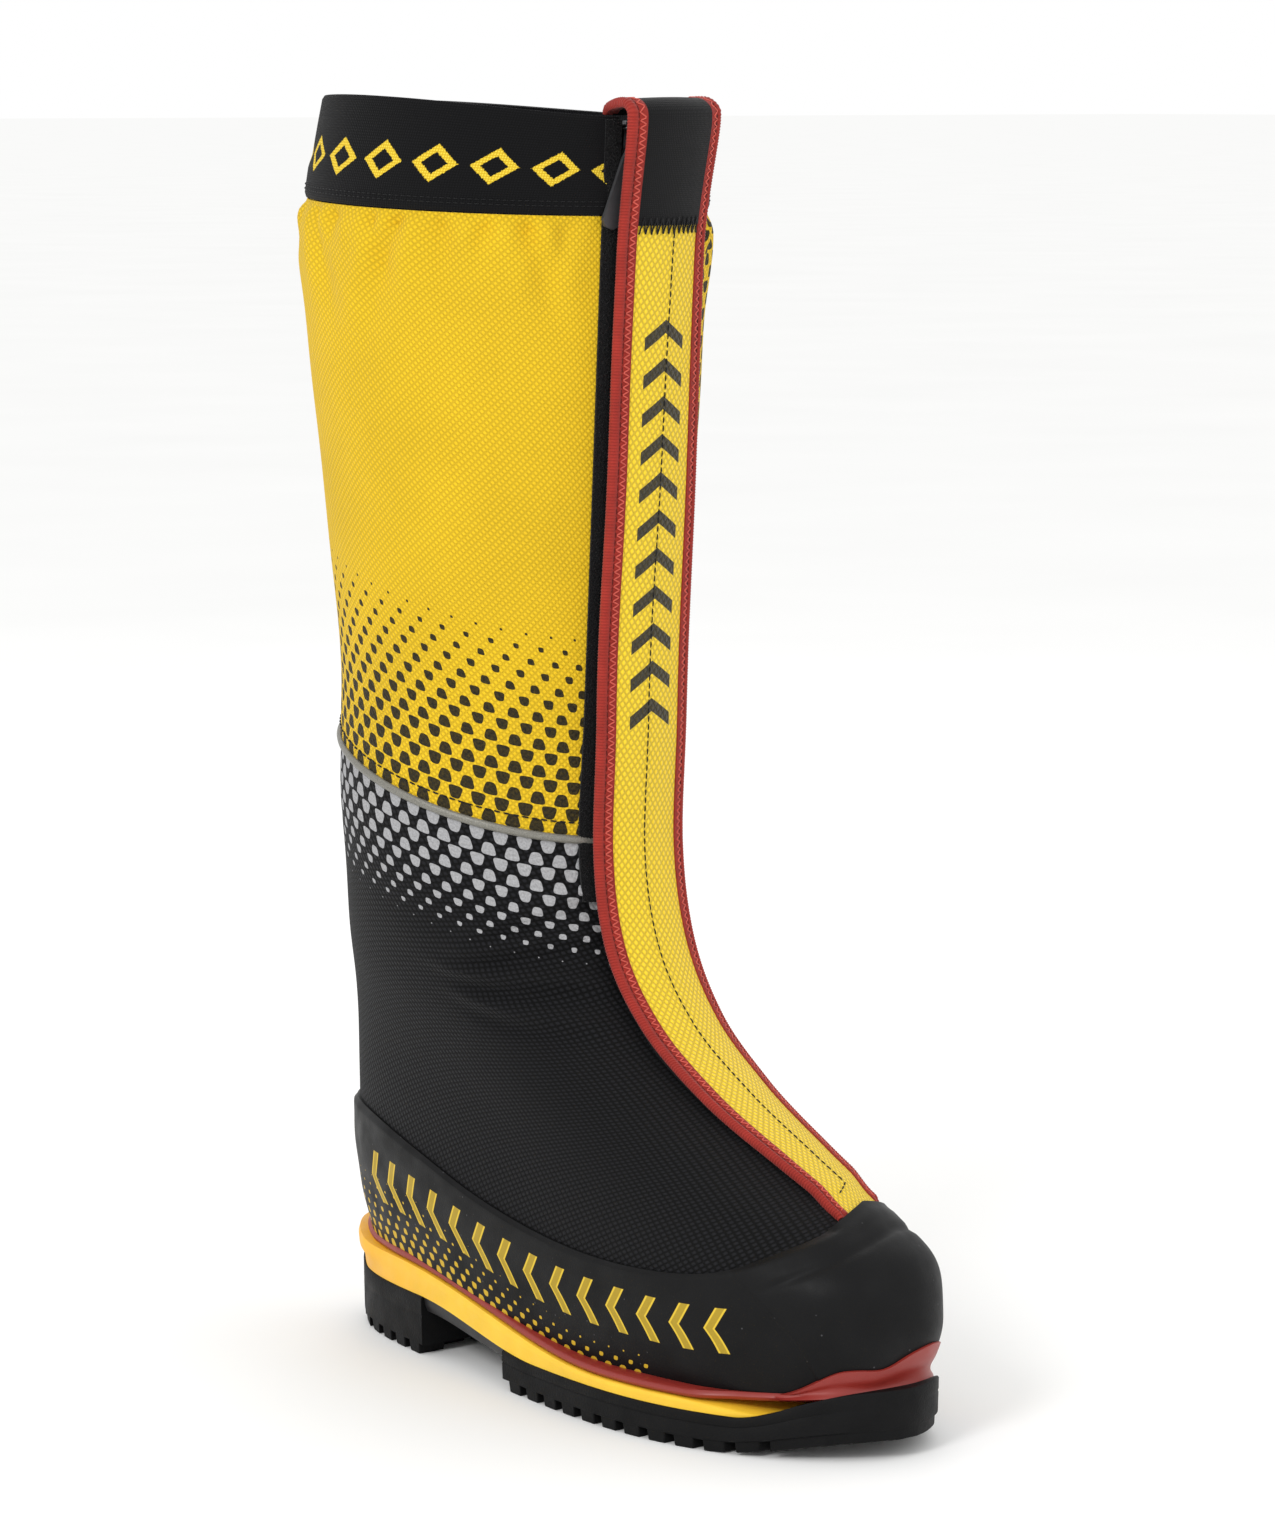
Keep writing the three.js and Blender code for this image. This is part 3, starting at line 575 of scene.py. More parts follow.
def printed_dots(tree, place, wide, high, size):
    """Share of ink of a staggered print of rounded trapezoids, every other row upside down.

    In each cell, x and y run from -0.5 to 0.5, and ink lies where the sum of |x (1.7 + slope y)|
    and |y|, each to the power 3.2, has a root under half the size.
    """
    per_metre = (1 / (wide * MM), 1 / (high * MM), 1)
    cells = put(tree, "VectorMath", {0: place, 1: per_metre}, operation="MULTIPLY")
    parts = put(tree, "SeparateXYZ", {0: cells}).node
    row = put(tree, "Math", {0: parts.outputs[1]}, operation="FLOOR")
    odd = put(tree, "Math", {0: row, 1: 2.0}, operation="FLOORED_MODULO")
    slid = put(tree, "Math", {0: odd, 1: 0.5, 2: parts.outputs[0]}, operation="MULTIPLY_ADD")
    x, y = in_cell(tree, slid), in_cell(tree, parts.outputs[1])
    turn = put(tree, "Math", {0: odd, 1: -2.0, 2: 1.0}, operation="MULTIPLY_ADD")
    slope = put(tree, "Math", {0: y, 1: turn, 2: DOT_NARROW}, operation="MULTIPLY_ADD")
    x = put(tree, "Math", {0: x, 1: slope}, operation="MULTIPLY")
    powers = []
    for way in (x, y):
        far = put(tree, "Math", {0: way}, operation="ABSOLUTE")
        powers.append(put(tree, "Math", {0: far, 1: DOT_POWER}, operation="POWER"))
    total = put(tree, "Math", {0: powers[0], 1: powers[1]}, operation="ADD")
    reach = put(tree, "Math", {0: total, 1: 1 / DOT_POWER}, operation="POWER")
    past = put(tree, "Math", {0: size, 1: -0.5, 2: reach}, operation="MULTIPLY_ADD")
    return put(tree, "MapRange", {"Value": past, "From Min": DOT_EDGE, "From Max": -DOT_EDGE})


def under(tree, value, limit, edge):
    """1 where a value is under a limit and 0 past it, over a soft edge."""
    return put(tree, "MapRange", {"Value": value, "From Min": limit + edge, "From Max": limit - edge})


def between_cells(tree, mark, way, first, last):
    """Keeps a mark only where a way counted in cells lies between two cells."""
    for limit, operation in ((first, "GREATER_THAN"), (last, "LESS_THAN")):
        inside = put(tree, "Math", {0: way, 1: float(limit)}, operation=operation)
        mark = put(tree, "Math", {0: mark, 1: inside}, operation="MULTIPLY")
    return mark


MATERIALS = {}
PRINT_EDGE = 0.1 * MM

# The flap's chevrons: pitch, stroke as a share of it, half width, lean, and the first and the
# last place, in pitches from the toe.
CHEVRON_PITCH = 15.0
CHEVRON_STROKE = 0.1775
CHEVRON_HALF = 9.8
CHEVRON_LEAN = 0.7
CHEVRON_FIRST = 16
CHEVRON_LAST = 27

# The rand's chevrons: pitch, height of their middle, half height, lean, half stroke, its paler
# rim, and the first and last place, in pitches from the heel towards the lateral side.
RAND_PITCH = 17.0
RAND_MIDDLE = 31.0
RAND_HALF = 11.2
RAND_LEAN = 0.62
RAND_STROKE = 2.6
RAND_RIM = 1.7
RAND_FIRST = -16
RAND_LAST = -2
RAND_DOTS = (8.6, 4.6)

# The cuff's diamonds: pitch, half width, half height and the height of their middle.
DIAMOND_PITCH = 24
DIAMOND_WIDE = 9.5
DIAMOND_HIGH = 6.2
DIAMOND_MIDDLE = 17


def gaiter_cloth(label, color, tones, ink, knot, rotation, cell, shine=0.22):
    """Coated polyamide cloth with a knotted weave, screen printed with dots.

    The weave's knots are painted lighter than the yarn between them, a painted highlight on the
    knots and painted shade in the gaps, and the ink lies in it a little duller.
    """
    made, tree = new_material(label)
    place = put(tree, "UVMap", uv_map="Cloth")
    knots = weave(tree, place, knot[0], knot[1], rotation)
    size = put(tree, "Attribute", out="Fac", attribute_name="print_size")
    dots = printed_dots(tree, place, cell[0], cell[1], size)
    share = put(tree, "MapRange", {"Value": knots, "From Min": 0.25, "From Max": 0.85})
    # A shaded and a lit copy of the cloth's colour: painted shade in the gaps, painted highlight on the
    # knots.
    low, high = (toned(color, tone) for tone in tones)
    cloth = put(tree, "Mix", {"Factor": share, 6: low, 7: high}, 2, data_type="RGBA")
    soiled = mottle(tree, put(tree, "TexCoord", out="Object"), 40, 0.95, 1.04)
    cloth = put(tree, "VectorMath", {0: cloth, 1: soiled}, operation="MULTIPLY")
    worn = mottle(tree, place, 1.1, 0.94, 1.0)
    inked = put(tree, "Math", {0: dots, 1: worn}, operation="MULTIPLY")
    patchy = mottle(tree, place, 0.8, 0.8, 1.15)
    ink_tone = put(tree, "VectorMath", {0: ink[:], 1: patchy}, operation="MULTIPLY")
    shown = put(tree, "Mix", {"Factor": inked, 6: cloth, 7: ink_tone}, 2, data_type="RGBA")
    fibre = mottle(tree, place, 0.35, 0.0, 0.25)
    height = put(tree, "Math", {0: knots, 1: fibre}, operation="ADD")
    finish_material(tree, shown, 0.78, height, 0.35, **{
        "Sheen Weight": 0.04, "Sheen Roughness": 0.4, "Specular IOR Level": shine})
    return made


def plain_fabric(label, code, light, knot, depth=0.25, rough=0.85, sheen=0.08, on_cloth=True):
    """A knitted or woven face of one colour, with knots painted lighter as a painted highlight, and a
    soft edge glow.
    """
    made, tree = new_material(label)
    place = put(tree, "UVMap", uv_map="Cloth") if on_cloth else put(tree, "TexCoord", out="Object")
    knots = weave(tree, place, knot[0], knot[1])
    fibre = mottle(tree, place, 0.4, 0.0, 0.5)
    height = put(tree, "Math", {0: knots, 1: fibre}, operation="ADD")
    # Mixed towards the lighter colour on the knots: a painted highlight on them.
    color = put(tree, "Mix", {"Factor": knots, 6: linear(code), 7: linear(light)}, 2, data_type="RGBA")
    shade = mottle(tree, place, 9, 0.85, 1.1)
    color = put(tree, "VectorMath", {0: color, 1: shade}, operation="MULTIPLY")
    finish_material(tree, color, rough, height, depth, **{
        "Sheen Weight": sheen, "Sheen Roughness": 0.5, "Specular IOR Level": 0.15})
    return made


def moulded(label, code, rough, grain=0.5, depth=0.04, wear=0.08, **shader):
    """A moulded plastic or rubber: fine grain from the tool, and a faintly uneven gloss."""
    made, tree = new_material(label)
    place = put(tree, "TexCoord", out="Object")
    shade = mottle(tree, place, 30, 1 - wear, 1 + wear)
    color = put(tree, "VectorMath", {0: linear(code)[:3], 1: shade}, operation="MULTIPLY")
    gloss = mottle(tree, place, 10, rough - 0.07, rough + 0.07)
    grains = mottle(tree, place, grain, 0.0, 1.0, 4.0)
    finish_material(tree, color, gloss, grains, depth, **shader)
    return made


def rand_chevrons(tree, place):
    """Share of ink of the rand's row of chevrons, and the share of their paler rim."""
    cells = put(tree, "SeparateXYZ", {0: place}).node
    up = put(tree, "Math", {0: cells.outputs[1], 1: -RAND_MIDDLE * MM}, operation="ADD")
    bend = put(tree, "Math", {0: up}, operation="ABSOLUTE")
    slid = put(tree, "Math", {0: bend, 1: RAND_LEAN, 2: cells.outputs[0]}, operation="MULTIPLY_ADD")
    turn = put(tree, "Math", {0: slid, 1: 1 / (RAND_PITCH * MM)}, operation="MULTIPLY")
    off = from_middle(tree, turn)
    off = put(tree, "Math", {0: off, 1: RAND_PITCH * MM}, operation="MULTIPLY")
    stroke = under(tree, off, RAND_STROKE * MM, PRINT_EDGE)
    tall = under(tree, bend, RAND_HALF * MM, PRINT_EDGE)
    rim = under(tree, off, RAND_RIM * MM, -2 * PRINT_EDGE)
    mark = put(tree, "Math", {0: stroke, 1: tall}, operation="MULTIPLY")
    return between_cells(tree, mark, turn, RAND_FIRST, RAND_LAST), rim


def flap_cloth():
    """Polyester mesh: oval knots in slanting rows, painted bright as a painted highlight, with
    gaps painted darker as painted shade, and dull black chevrons printed down it."""
    looks = bpy.context.scene.boot_looks
    made, tree = new_material("Polyester_mesh_yellow")
    place = put(tree, "UVMap", uv_map="Cloth")
    knots = weave(tree, place, 1.9, 2.6, math.radians(38))
    cells = put(tree, "SeparateXYZ", {0: place}).node
    side = put(tree, "Math", {0: cells.outputs[0]}, operation="ABSOLUTE")
    slid = put(tree, "Math", {0: side, 1: CHEVRON_LEAN, 2: cells.outputs[1]}, operation="MULTIPLY_ADD")
    turn = put(tree, "Math", {0: slid, 1: 1 / (CHEVRON_PITCH * MM)}, operation="MULTIPLY")
    stroke = under(tree, from_middle(tree, turn), CHEVRON_STROKE, 0.0075)
    narrow = under(tree, side, CHEVRON_HALF * MM, PRINT_EDGE)
    mark = put(tree, "Math", {0: stroke, 1: narrow}, operation="MULTIPLY")
    mark = between_cells(tree, mark, turn, CHEVRON_FIRST, CHEVRON_LAST)
    worn = put(tree, "Math", {0: mark, 1: mottle(tree, place, 0.9, 0.94, 1.0)}, operation="MULTIPLY")
    share = put(tree, "MapRange", {"Value": knots, "From Min": 0.15, "From Max": 0.8})
    # A shaded and a lit copy of the mesh's yellow: painted shade in the gaps, painted highlight on the
    # knots.
    low, high = (toned(looks.flap_cloth, tone) for tone in (0.7, 1.12))
    cloth = put(tree, "Mix", {"Factor": share, 6: low, 7: high}, 2, data_type="RGBA")
    ink = toned(looks.dark_ink, 1)
    color = put(tree, "Mix", {"Factor": worn, 6: cloth, 7: ink}, 2, data_type="RGBA")
    height = put(tree, "Math", {0: knots, 1: mottle(tree, place, 0.35, 0.0, 0.2)}, operation="ADD")
    finish_material(tree, color, 0.7, height, 0.45, **{
        "Sheen Weight": 0.15, "Specular IOR Level": 0.35})
    return made


def cuff_cloth():
    """Woven elastic: fine upright ribs, with a jacquard row of yellow diamonds, outlined."""
    made, tree = new_material("Woven_elastic_black")
    place = put(tree, "UVMap", uv_map="Cloth")
    ribs = weave(tree, place, 1.1, 0.9)
    cells = put(tree, "SeparateXYZ", {0: place}).node
    turn = put(tree, "Math", {0: cells.outputs[0], 1: 1 / (DIAMOND_PITCH * MM)}, operation="MULTIPLY")
    wide = put(tree, "Math", {0: from_middle(tree, turn), 1: DIAMOND_PITCH / DIAMOND_WIDE},
               operation="MULTIPLY")
    up = put(tree, "Math", {0: cells.outputs[1], 1: -DIAMOND_MIDDLE * MM}, operation="ADD")
    up = put(tree, "Math", {0: up}, operation="ABSOLUTE")
    high = put(tree, "Math", {0: up, 1: 1 / (DIAMOND_HIGH * MM)}, operation="MULTIPLY")
    reach = put(tree, "Math", {0: wide, 1: high}, operation="ADD")
    reach = put(tree, "Math", {0: reach, 1: mottle(tree, place, 0.8, -0.05, 0.05)}, operation="ADD")
    band = put(tree, "Math", {0: reach, 1: -0.8}, operation="ADD")
    mark = under(tree, put(tree, "Math", {0: band}, operation="ABSOLUTE"), 0.22, 0.02)
    yarns = []
    # Each yarn in a darker and a lighter tone across its ribs: painted shade between them, painted
    # highlight on their tops.
    for low, high in (("070708", "111113"), ("C9A41C", "F2D64A")):
        tones = {"Factor": ribs, 6: linear(low), 7: linear(high)}
        yarns.append(put(tree, "Mix", tones, 2, data_type="RGBA"))
    color = put(tree, "Mix", {"Factor": mark, 6: yarns[0], 7: yarns[1]}, 2, data_type="RGBA")
    height = put(tree, "Math", {0: ribs, 1: mark}, operation="ADD")
    finish_material(tree, color, 0.85, height, 0.2, **{
        "Sheen Weight": 0.05, "Specular IOR Level": 0.12})
    return made


def loop_pile():
    """Loop pile: matt, very dark and fuzzy."""
    made, tree = new_material("Loop_pile_black")
    tufts = mottle(tree, put(tree, "UVMap", uv_map="Cloth"), 0.9, 0.0, 1.0, 5.0)
    tones = {"Factor": tufts, 6: linear("030303"), 7: linear("141416")}
    color = put(tree, "Mix", tones, 2, data_type="RGBA")
    finish_material(tree, color, 0.95, tufts, 0.7, **{"Sheen Weight": 0.12, "Specular IOR Level": 0.1})
    return made


def reflective_tape():
    """Glass-bead tape: mid grey, finely speckled, brighter than its surroundings."""
    made, tree = new_material("Glass_bead_reflective_tape")
    beads = mottle(tree, put(tree, "TexCoord", out="Object"), 0.5, 0.0, 1.0, 5.0)
    tones = {"Factor": beads, 6: linear("67655F"), 7: linear("8A887F")}
    color = put(tree, "Mix", tones, 2, data_type="RGBA")
    finish_material(tree, color, 0.42, beads, 0.05, Metallic=0.25)
    return made


def rand_rubber(with_print):
    """Smooth vulcanised rubber with dust and faint scuffs; the rand carries a yellow print."""
    made, tree = new_material("Vulcanised_rand_printed" if with_print else "Vulcanised_toe_cap")
    place = put(tree, "TexCoord", out="Object")
    specks = put(tree, "TexVoronoi", {"Vector": place, "Scale": 1 / (7 * MM)})
    dust = put(tree, "MapRange", {"Value": specks, "From Min": 0.06, "From Max": 0.035, "To Max": 0.4})
    scuffs = mottle(tree, place, 22, 0.82, 1.25)
    color = put(tree, "VectorMath", {0: linear("0C0C0D")[:3], 1: scuffs}, operation="MULTIPLY")
    color = put(tree, "Mix", {"Factor": dust, 6: color, 7: linear("68676A")}, 2, data_type="RGBA")
    if with_print:
        cloth = put(tree, "UVMap", uv_map="Cloth")
        size = put(tree, "Attribute", out="Fac", attribute_name="print_size")
        dots = printed_dots(tree, cloth, *RAND_DOTS, size)
        mark, rim = rand_chevrons(tree, cloth)
        tones = {"Factor": rim, 6: linear("A98E2C"), 7: linear("DCBB3A")}
        yellow = put(tree, "Mix", tones, 2, data_type="RGBA")
        color = put(tree, "Mix", {"Factor": mark, 6: color, 7: yellow}, 2, data_type="RGBA")
        color = put(tree, "Mix", {"Factor": dots, 6: color, 7: linear("C9A52C")}, 2, data_type="RGBA")
    grain = mottle(tree, place, 0.7, 0.0, 1.0, 4.0)
    gloss = mottle(tree, place, 14, 0.42, 0.6)
    finish_material(tree, color, gloss, grain, 0.03, **{"Specular IOR Level": 0.15})
    return made


def skinned_foam():
    """Foam with a moulded skin: satin, a warmer yellow at the heel."""
    made, tree = new_material("Skinned_polyurethane_yellow")
    place = put(tree, "TexCoord", out="Object")
    parts = put(tree, "SeparateXYZ", {0: place}).node
    heel = put(tree, "MapRange", {"Value": parts.outputs[1], "From Min": 0.05, "From Max": 0.15})
    tones = {"Factor": heel, 6: linear("F3C32E"), 7: linear("F2AE24")}
    color = put(tree, "Mix", tones, 2, data_type="RGBA")
    shade = mottle(tree, place, 18, 0.93, 1.04)
    color = put(tree, "VectorMath", {0: color, 1: shade}, operation="MULTIPLY")
    gloss = mottle(tree, place, 6, 0.45, 0.6)
    finish_material(tree, color, gloss, mottle(tree, place, 0.6, 0, 1), 0.03)
    return made


def soft_pull():
    """Moulded soft plastic: dark grey, satin, faintly grained."""
    made, tree = new_material("Soft_moulded_plastic_grey")
    place = put(tree, "TexCoord", out="Object")
    shade = mottle(tree, place, 5, 0.9, 1.1)
    color = put(tree, "VectorMath", {0: linear("3A3A3C")[:3], 1: shade}, operation="MULTIPLY")
    finish_material(tree, color, 0.5, mottle(tree, place, 0.5, 0, 1), 0.03)
    return made


def make_materials():
    """Every finish of the boot, by its record slot or by the piece that it covers."""
    looks = bpy.context.scene.boot_looks
    knot = looks.knot_pitch / MM
    cell = (looks.dot_pitch / MM, looks.dot_row / MM)
    low_shine = {"Specular IOR Level": 0.15}
    MATERIALS.update({
        # Coated polyamide with raised knots, painted lighter as a painted highlight: reads as rows of
        # paler dots.
        "gaiter_yellow": gaiter_cloth(
            "Coated_polyamide_yellow", looks.yellow_cloth, (0.84, 1.16), looks.dark_ink,
            (knot, knot), math.radians(45), cell),
        # Coarse black polyamide weave: its knots get a dim painted highlight and its gaps painted
        # shade.
        "gaiter_black": gaiter_cloth(
            "Polyamide_weave_black", looks.black_cloth, (0.2, 3.0), looks.grey_ink,
            (2.8, 2.1), math.radians(28), cell, 0.16),
        "flap_yellow": flap_cloth(),
        "cuff_elastic": cuff_cloth(),
        "hook_and_loop": loop_pile(),
        "piping": reflective_tape(),
        "rand_rubber": rand_rubber(True),
        "cap_rubber": rand_rubber(False),
        "midsole_foam": skinned_foam(),
        "pull_rubber": soft_pull(),
        # Brushed inner face of the cloth: dull and even.
        "lining": plain_fabric("Brushed_lining_black", "17171A", "222226", (1.2, 1.2)),
        # Ribbed tape: fine ribs across it, the red painted a little paler on their tops as a painted
        # highlight, and darker towards the tape's inner edge.
        "binding": plain_fabric(
            "Ribbed_polyester_binding_red", "8A251E", "A83429", (30, 1.2), 0.15, 0.65, 0.12),
        # Neoprene with a knit face: smooth, faintly grained, deep black.
        "neoprene": plain_fabric("Neoprene_knit_black", "0A0A0B", "121214", (0.8, 0.8), 0.12, 0.8),
        # Woven tape with a tight, even weave.
        "zip_tape": plain_fabric("Woven_zip_tape_black", "141416", "202022", (0.9, 0.9), 0.1, 0.8),
        # Filament thread: a short sparkle on each stitch. The maroon thread's dark seam on the bindings
        # is also a painted shadow in their groove.
        **{"thread_" + name: plain_fabric(
            "Polyester_thread_" + name, code, code, (0.5, 0.5), 0.05, 0.5, on_cloth=False)
           for name, code in (("black", "121214"), ("red", "CC584B"), ("maroon", "5A1814"))},
        # Laminated insulation: dull, with a faint grid.
        "shell_laminate": plain_fabric(
            "Insulated_laminate_black", "1C1C1F", "26262A", (1.6, 1.6), 0.2, on_cloth=False),
        # Felted knit over foam: charcoal, fuzzy at its edges.
        "liner_foam": plain_fabric(
            "Felted_liner_charcoal", "26262A", "38383E", (1.4, 1.4), 0.3, sheen=0.35, on_cloth=False),
        # Woven carbon in resin: a fine dark check with some gloss.
        "carbon_board": plain_fabric(
            "Carbon_fibre_board", "101012", "242428", (2, 2), 0.05, 0.35, 0.0, False),
        # Wool felt: light grey and soft.
        "footbed_felt": plain_fabric(
            "Wool_felt_grey", "5C5C61", "77777C", (1.5, 1.5), 0.3, sheen=0.35, on_cloth=False),
        # Moulded thermoplastic urethane: satin red with soft highlights.
        "tpu_frame": moulded("Thermoplastic_urethane_red", "8C2820", 0.42, 0.6, 0.02, 0.05),
        # Vulcanised rubber: matt black with dust in its grain.
        "outsole_rubber": moulded(
            "Vulcanised_rubber_black", "0A0A0B", 0.6, 0.9, 0.08, 0.25, **low_shine),
        # Glass-filled nylon: a duller black than the rubber, slightly grained.
        "shank_cover": moulded("Glass_filled_nylon_black", "1B1B1D", 0.5, depth=0.03),
        # Acetal teeth: dark with small sharp highlights.
        "zip_chain": moulded("Acetal_zip_teeth", "232326", 0.35, 0.4, 0.01),
        # Tumbled zinc casting: a soft metal gleam.
        "zip_metal": moulded("Die_cast_zinc", "9A9A9C", 0.38, 0.7, 0.02, Metallic=1.0),
    })


# ---------------------------------------------------------------- gaiter, cuff and piping
# Folds that start under the elastic: way from the heel, slope, width, depth and length (mm).
FOLDS = (
    (-216, 0.30, 4.0, 2.2, 26), (-196, -0.35, 3.4, 2.6, 34), (-183, 0.25, 3.0, 1.8, 18),
    (-163, -0.10, 4.6, 2.4, 30), (-146, 0.40, 3.4, 2.6, 38), (-131, -0.30, 3.0, 2.0, 22),
    (-108, 0.12, 4.8, 2.4, 28), (-92, -0.30, 3.4, 2.4, 34), (-70, 0.30, 3.8, 2.0, 20),
    (-49, -0.15, 4.4, 2.4, 32), (-27, 0.28, 3.4, 2.2, 24), (-6, -0.22, 4.0, 2.4, 30),
    (16, 0.25, 3.6, 2.0, 22), (37, -0.30, 4.2, 2.4, 32), (59, 0.15, 3.6, 2.2, 24),
    (82, -0.20, 4.6, 2.4, 30), (104, 0.32, 3.4, 2.2, 26), (127, -0.28, 4.0, 2.4, 34),
    (150, 0.20, 3.6, 2.0, 22), (173, -0.25, 4.2, 2.4, 30), (197, 0.30, 3.6, 2.2, 26),
    (217, -0.20, 4.0, 2.2, 24))
# Every fold's depth is taken this many times.
FOLD_DEPTH = 1.55


def gathers(u, below):
    """Height of the cloth under the elastic: a puff, less a sum of bells across slanting lines
    that die away downwards."""
    total = 2.4 * np.exp(-((below - 15) / 20) ** 2) * smooth(below, 0, 9)
    for start, slope, width, deep, long in FOLDS:
        off = np.abs(u - start - slope * below) / (width + 0.08 * below)
        fade = FOLD_DEPTH * deep * np.exp(-((below / long) ** 2)) * smooth(below, 0, 5)
        total = total - fade * (np.exp(-(off**1.4)) - 0.4 * np.exp(-((off - 2) ** 2)))
    return total


def slack(u, w):
    """Gentle unevenness of cloth over padding."""
    return (0.95 * np.sin(w / 37 + u / 70 + 1) * np.sin(u / 33 + 0.5)
            + 0.5 * np.sin(w / 19 - u / 37) * np.sin(w / 53 + 2))


# Creases at the bend of the ankle: way from the ridge, height, slope, length, width, height (mm).
CREASES = [
    (56, 180, -0.12, 34, 3.2, 3.4), (62, 167, 0.05, 40, 3.6, 3.8), (48, 193, -0.30, 30, 3.2, 2.8),
    (68, 154, 0.14, 34, 4.0, 3.0), (-52, 180, 0.12, 36, 3.4, 3.2), (-58, 165, -0.06, 40, 3.8, 3.4),
    (-48, 194, 0.26, 30, 3.4, 2.6),
]


def creases(s, z):
    """Sum of ridges, each a bell across its line that fades towards its ends, with a slight
    valley under it."""
    total = np.zeros_like(z)
    for middle, height, slope, length, width, tall in CREASES:
        along = s - middle
        off = (z - height - slope * along) / width
        fade = np.exp(-((along / length) ** 4))
        total += tall * fade * (np.exp(-(off**2)) - 0.35 * np.exp(-((off + 1.7) ** 2)))
    return np.maximum(total, -0.8)


def signed_way(q, v):
    """Way from the ridge in mm: positive on the lateral side, negative on the medial one."""
    length = ring_length(v)
    return np.where(q > 0.5, q - 1, q) * length


def dot_size(share):
    """Size of the printed dots in their cells: from large at the piping to small, then none."""
    return np.where(share < 1, 0.96 - 0.6 * np.clip(share, 0, 1) ** 2.1, 0.36 - 3 * (share - 1))


# Shares of the height that a cloth leaves free at the piping, under the cuff and at the sole.
PIPING_ROOM = 0.0022
CUFF_ROOM = 0.0004
SOLE_ROOM = 0.006
# How far the dots run from the piping, in mm, on the lateral side and on the medial front.
DOTS_UP = (74, 520)
DOTS_DOWN = (47, 62)


def medial_front(q):
    """0 on the lateral side and the heel, 1 on the medial front."""
    return smooth(q, 0.62, 0.9)


def build_upper_gaiter():
    """The yellow cloth: the skin moved out by the gathers and the slack, both flat by the flap."""
    q, v = wrap_grid(300, 120, lambda x: pipe_line(x) + PIPING_ROOM, lambda x: cuff_line(x) - CUFF_ROOM)
    uv = cloth_uv(q, v)
    u, w = uv[..., 0], uv[..., 1]
    below = w[:, -1:] - w
    beside = smooth(np.abs(signed_way(q, v)), 27, 50)
    loose = slack(u, w) * smooth(w, 0, 20) * smooth(below, 0, 25)
    n = gathers(u, below) * beside + loose * beside + 0.1
    size = dot_size(w / lerp(*DOTS_UP, medial_front(q)))
    cloths = [MATERIALS["gaiter_yellow"], MATERIALS["lining"]]
    made = shell("upper_gaiter_cloth", q, v, n, n - CLOTH, cloths, uv=uv, fields={"print_size": size})
    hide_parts("upper_gaiter")


def build_lower_gaiter():
    """The black cloth: the skin moved out by the creases and the slack, above the rubber only."""
    q, v = wrap_grid(340, 130, lambda x: 0.0 * x + SOLE_ROOM, lambda x: pipe_line(x) - PIPING_ROOM)
    uv = cloth_uv(q, v, from_top=True)
    u, w = uv[..., 0], uv[..., 1]
    z = surface(q, v)[..., 2]
    n = creases(signed_way(q, v), z) + slack(u, w) * smooth(-w, 0, 25) * smooth(z, 100, 130)
    n = n * smooth(v, rand_top(q), rand_top(q) + 0.03)
    size = dot_size(-w / lerp(*DOTS_DOWN, medial_front(q)))
    cloths = [MATERIALS["gaiter_black"], MATERIALS["lining"]]
    made = shell("lower_gaiter_cloth", q, v, n, n - CLOTH, cloths, uv=uv, fields={"print_size": size})
    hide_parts("lower_gaiter")


# The band's thickness, its rim's lift on the lateral and the medial side, and the height of its
# two rows of stitches, mm.
CUFF_THICK = 2.0
CUFF_RIM = (5.5, -3.5)
CUFF_SEAMS = (2.6, 4.0)


def build_cuff():
    """The elastic band: a rolled lower edge, hems drawn in and two sines as a ripple.

    Its rim stands higher on the lateral side and lower on the medial one, by a squared sine.
    """
    q, v = wrap_grid(300, 30, lambda x: cuff_line(x) + CUFF_ROOM, lambda x: 1 + 0 * x)
    uv = cloth_uv(q, v)
    u, w = uv[..., 0], uv[..., 1]
    roll = 0.9 * (1 - smooth(w, 11, 17)) + 0.25 * np.sin(u / 9) * np.sin(w / 12)
    hem = -0.7 * (1 - smooth(np.minimum(w, w[:, -1:] - w), 0, 1.6))
    n = 0.5 + roll + hem
    lift = np.where(q < 0.5, *CUFF_RIM) * np.sin(2 * np.pi * q) ** 2 * smooth(w, 6, CUFF_HEIGHT)
    bands = [MATERIALS["cuff_elastic"], MATERIALS["lining"]]
    made = shell("cuff_elastic_band", q, v, n, n - CUFF_THICK, bands, uv=uv, lift=lift)
    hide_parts("cuff_band")
    # Double-needle seam just above the band's lower hem.
    rows = []
    for up in CUFF_SEAMS:
        q_line, v_line = (lerp(a[:, 0], a[:, -1], up / CUFF_HEIGHT) for a in (q, v))
        path = skin(q_line, v_line, 1.45)
        rows.append(stitches(path, outward(q_line, v_line), 1.9, 0.9, 0.67))
    seam = piece("cuff_seam", *joined(rows), [MATERIALS["thread_black"]], sharp=None)


# Height share from the piping to the seam above it.
PIPING_SEAM = 0.01


def build_piping():
    """The reflective cord, an ellipse carried along the piping's line, and the seam above it."""
    q, v = wrap_grid(420, 2, pipe_line, lambda x: pipe_line(x) + 1e-4)
    q, v = q[:, 0], v[:, 0]
    cord = tube(skin(q, v, 0.5), outward(q, v), 1.7, 1.3, 12)
    made = loft("reflective_piping_cord", cord, [MATERIALS["piping"]])
    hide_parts("reflective_piping")
    v = v + PIPING_SEAM
    seam = piece("piping_seam", *stitches(skin(q, v, 0.25), outward(q, v), 2.7, 1.1, 1.25),
                 [MATERIALS["thread_black"]], sharp=None)


